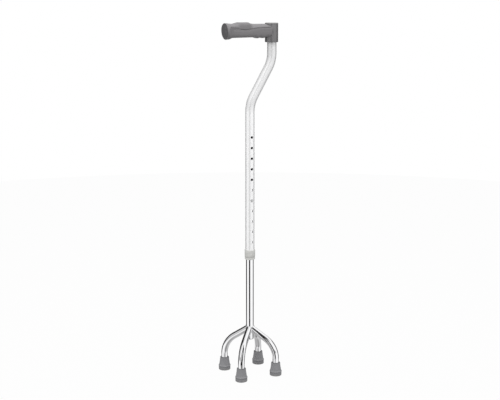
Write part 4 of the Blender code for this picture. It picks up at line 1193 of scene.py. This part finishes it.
def makeScrew():
    # a pan head, whose height falls with the radius to the fourth, with a cross recess pressed into it;
    # turned about a level line towards +Y
    values = screw
    share = np.linspace(0.0, 1.0, values["crownSteps"])
    crown = np.stack((values["head"] * share, values["headHigh"] - values["crownDrop"] * share**4), -1)
    side = [(values["head"], values["headLow"]), (values["shank"], values["headLow"]),
            (values["shank"], values["inner"]), (0.0, values["inner"])]
    made = turnedPatch(np.concatenate((crown, side)), closed=False)
    x, y, z = made["points"].T
    arm = np.minimum(np.abs(x), np.abs(y))
    press = falling(arm, *values["slotSide"]) * falling(np.hypot(x, y), *values["slotEnd"])
    z = z - values["slotDepth"] * press * (z > values["headLow"] + values["slotAbove"])
    made = reshaped(made, np.stack((x, y, z), -1))
    place = (values["x"], 0.0, values["height"])
    made = laid(made, (1.0, 0.0, 0.0), (0.0, 0.0, -1.0), (0.0, 1.0, 0.0), place)
    addPiece("handleScrew", [made], zinc, "upper", "handle_screw")


makeGrip()
makeSocket()
makeLid()
makeEndCap()
makeScrew()


# The frame's own nodes that stay

kept = {
    "tube_guide": collarPlastic, "collet": collarPlastic, "button_spring": zinc,
    "washer_front_left": zinc, "washer_front_right": zinc,
    "washer_back_left": zinc, "washer_back_right": zinc,
}
for nodeName, finish in kept.items():
    node = nodes[nodeName]
    node.data.materials.clear()
    node.data.materials.append(finish)
print("kept nodes:", len(kept))


# Studio

studio = {
    "turn": math.radians(-26.9), "rise": math.radians(11.0), "distance": 2.5,
    "aim": (0.0002, -0.0001, 0.4332), "lens": 75.0, "sensor": 36.0,
    "lampPower": 27.0, "lampSize": 1.3, "lampPlace": (-0.35, -0.45, 2.1), "lampAim": (0.0, 0.0, 0.4),
    "ambient": 0.82, "ground": 0.50, "groundStart": math.radians(-19.0), "groundEnd": math.radians(-31.0),
    "floorGlow": 0.965, "floorGrey": 0.50, "floorRings": (0.0, 0.3, 0.8, 1.6, 3.0), "floorSides": 96,
}
cards = (  # what the bright metal mirrors: centre, half width, low, high, softness in degrees, and level
    (-9.0, 20.0, -20.0, -6.0, 3.0, 0.02),
    (-6.0, 10.0, -8.0, 34.0, 3.0, 0.03),
    (24.0, 15.0, -3.6, 1.5, 1.2, 0.02),
    (16.0, 18.0, 32.0, 64.0, 4.0, 0.03),
    (-130.0, 37.0, -21.0, 68.0, 5.0, 0.03),
    (124.0, 30.0, -22.0, 34.0, 6.0, 0.14),
    (-61.0, 33.0, -3.6, 12.0, 1.2, 0.45),
    (-84.0, 30.0, 12.0, 80.0, 8.0, 0.62),
    (24.0, 36.0, -75.0, -23.0, 4.0, 0.70),
    (-82.0, 34.0, -75.0, -24.0, 4.0, 0.84),
    (92.0, 14.0, -75.0, -23.0, 4.0, 1.25),
)
flag = {  # a sheet this far in front of the axis; rows: height, left edge, right edge
    "ahead": 84.0,
    "rows": (
        (8.0, -20.5, -7.5), (45.0, -19.0, -5.5), (62.0, -14.0, 4.0), (85.0, -10.0, 13.0), (114.0, -9.0, 18.0),
    ),
    "weaveScale": 900.0, "weaveGrey": (0.004, 0.012),
}


def lightPaths(graph):
    # 1 for what the camera sees straight, and 1 for what a mirror or glass shows
    straight = graph.add("LightPath", None, None, "Is Camera Ray")
    rays = {0: straight.out("Is Glossy Ray"), 1: straight.out("Is Transmission Ray")}
    return straight, graph.add("Math", {"operation": "MAXIMUM"}, rays)


def makeWorld():
    # white for the camera, cards and a grey ground for mirrors, an even level for matt surfaces
    world = bpy.data.worlds.new("studio")
    scene.world = world
    world.use_nodes = True
    world.cycles.sampling_method = "NONE"
    world.node_tree.nodes.clear()
    graph = Graph(world.node_tree)
    ray = graph.add("TexCoord", None, None, "Generated")
    turn = studio["turn"]

    def along(direction):
        # how far the ray goes in a direction
        return graph.add("VectorMath", {"operation": "DOT_PRODUCT"}, {0: ray, 1: direction}, "Value")

    right = along((math.cos(turn), math.sin(turn), 0.0))
    ahead = along((math.sin(turn), -math.cos(turn), 0.0))
    compass = graph.add("Math", {"operation": "ARCTAN2"}, {0: right, 1: ahead})
    rise = graph.add("Math", {"operation": "ARCSINE"}, {0: along((0.0, 0.0, 1.0))})
    level = graph.ramp(rise, studio["groundEnd"], studio["groundStart"], studio["ground"], 1.0)
    for card in cards:
        centre, half, low, high, soft = (math.radians(value) for value in card[:5])
        wide = graph.ramp(abs(compass - centre), half - soft, half + soft, 1.0, 0.0)
        above = graph.ramp(rise, low - soft, low + soft)
        below = graph.ramp(rise, high - soft, high + soft, 1.0, 0.0)
        level = level * (1.0 - wide * above * below * (1.0 - card[5]))
    straight, mirrored = lightPaths(graph)
    seen = graph.ramp(mirrored, 0.0, 1.0, studio["ambient"], 0.0) + level * mirrored
    final = straight + seen * (1.0 - straight)
    background = graph.add("Background", None, {"Color": grey(1.0), "Strength": final})
    graph.add("OutputWorld", None, {"Surface": background})


def makeFloor():
    # a pale round sheet that takes the shadow; mirrors look through it at the studio's ground
    sides = studio["floorSides"]
    turn = np.linspace(0.0, 2.0 * np.pi, sides, endpoint=False)
    radius = np.array(studio["floorRings"])
    count = len(radius)
    spread = radius[:, None] * np.cos(turn), radius[:, None] * np.sin(turn), np.zeros((count, sides))
    mesh = bpy.data.meshes.new("floorSheet")
    mesh.from_pydata(np.stack(spread, -1).reshape(-1, 3), [], gridFaces(count, sides, False, True).tolist())
    floor = bpy.data.objects.new("floorSheet", mesh)
    scene.collection.objects.link(floor)
    material = bpy.data.materials.new("floorPaper")
    material.use_nodes = True
    material.node_tree.nodes.clear()
    graph = Graph(material.node_tree)
    straight, mirrored = lightPaths(graph)
    paper = graph.add("BsdfDiffuse", None, {"Color": grey(studio["floorGrey"])})
    glow = graph.add("Emission", None, {"Color": grey(1.0), "Strength": 1.0})
    sheer = graph.add("BsdfTransparent", None, {"Color": grey(1.0)})
    mixed = graph.add("MixShader", None, {0: straight * studio["floorGlow"], 1: paper, 2: glow})
    whole = graph.add("MixShader", None, {0: mirrored, 1: mixed, 2: sheer})
    graph.add("OutputMaterial", None, {"Surface": whole})
    mesh.materials.append(material)


def makeFlag():
    # a small black sheet that only mirrors see, close in front of the front left leg
    turn, ahead = studio["turn"], flag["ahead"]
    rows = np.array(flag["rows"])
    side, height = rows[:, 1:], np.broadcast_to(rows[:, :1], (len(rows), 2))
    x = side * math.cos(turn) + ahead * math.sin(turn)
    y = side * math.sin(turn) - ahead * math.cos(turn)
    points = np.stack((x, y, height), -1).reshape(-1, 3) * mm
    mesh = bpy.data.meshes.new("blackFlag")
    mesh.from_pydata(points, [], gridFaces(len(rows), 2, False, False).tolist())
    sheet = bpy.data.objects.new("blackFlag", mesh)
    scene.collection.objects.link(sheet)
    material, graph, shader = newMaterial("flagCloth", {"Roughness": 1.0, "Specular IOR Level": 0.0})
    weave = graph.noise(placeOf(graph, "Object"), flag["weaveScale"], detail=2.0)
    graph.feed(shader, {"Base Color": graph.blend(weave, *(grey(level) for level in flag["weaveGrey"]))})
    mesh.materials.append(material)
    sheet.visible_camera = False
    sheet.visible_diffuse = False
    sheet.visible_shadow = False
    sheet.visible_transmission = False


def makeLamp():
    # one wide soft lamp overhead, a little to the camera's left
    light = bpy.data.lights.new("softLamp", "AREA")
    light.shape = "DISK"
    light.size = studio["lampSize"]
    light.energy = studio["lampPower"]
    lamp = bpy.data.objects.new("softLamp", light)
    lamp.location = studio["lampPlace"]
    aim = Vector(studio["lampAim"]) - lamp.location
    lamp.rotation_euler = aim.to_track_quat("-Z", "Y").to_euler()
    lamp.visible_glossy = False
    lamp.visible_camera = False
    scene.collection.objects.link(lamp)


def makeCamera():
    # at the fitted distance, turned and raised round the aim
    turn, rise = studio["turn"], studio["rise"]
    back = Vector((math.sin(turn) * math.cos(rise), -math.cos(turn) * math.cos(rise), math.sin(rise)))
    camera = bpy.data.objects.new("camera", bpy.data.cameras.new("camera"))
    camera.data.lens = studio["lens"]
    camera.data.sensor_width = studio["sensor"]
    camera.location = Vector(studio["aim"]) + back * studio["distance"]
    camera.rotation_euler = (-back).to_track_quat("-Z", "Y").to_euler()
    scene.collection.objects.link(camera)
    scene.camera = camera


makeWorld()
makeFloor()
makeFlag()
makeLamp()
makeCamera()
scene.view_settings.view_transform = "Standard"
print("studio ready")
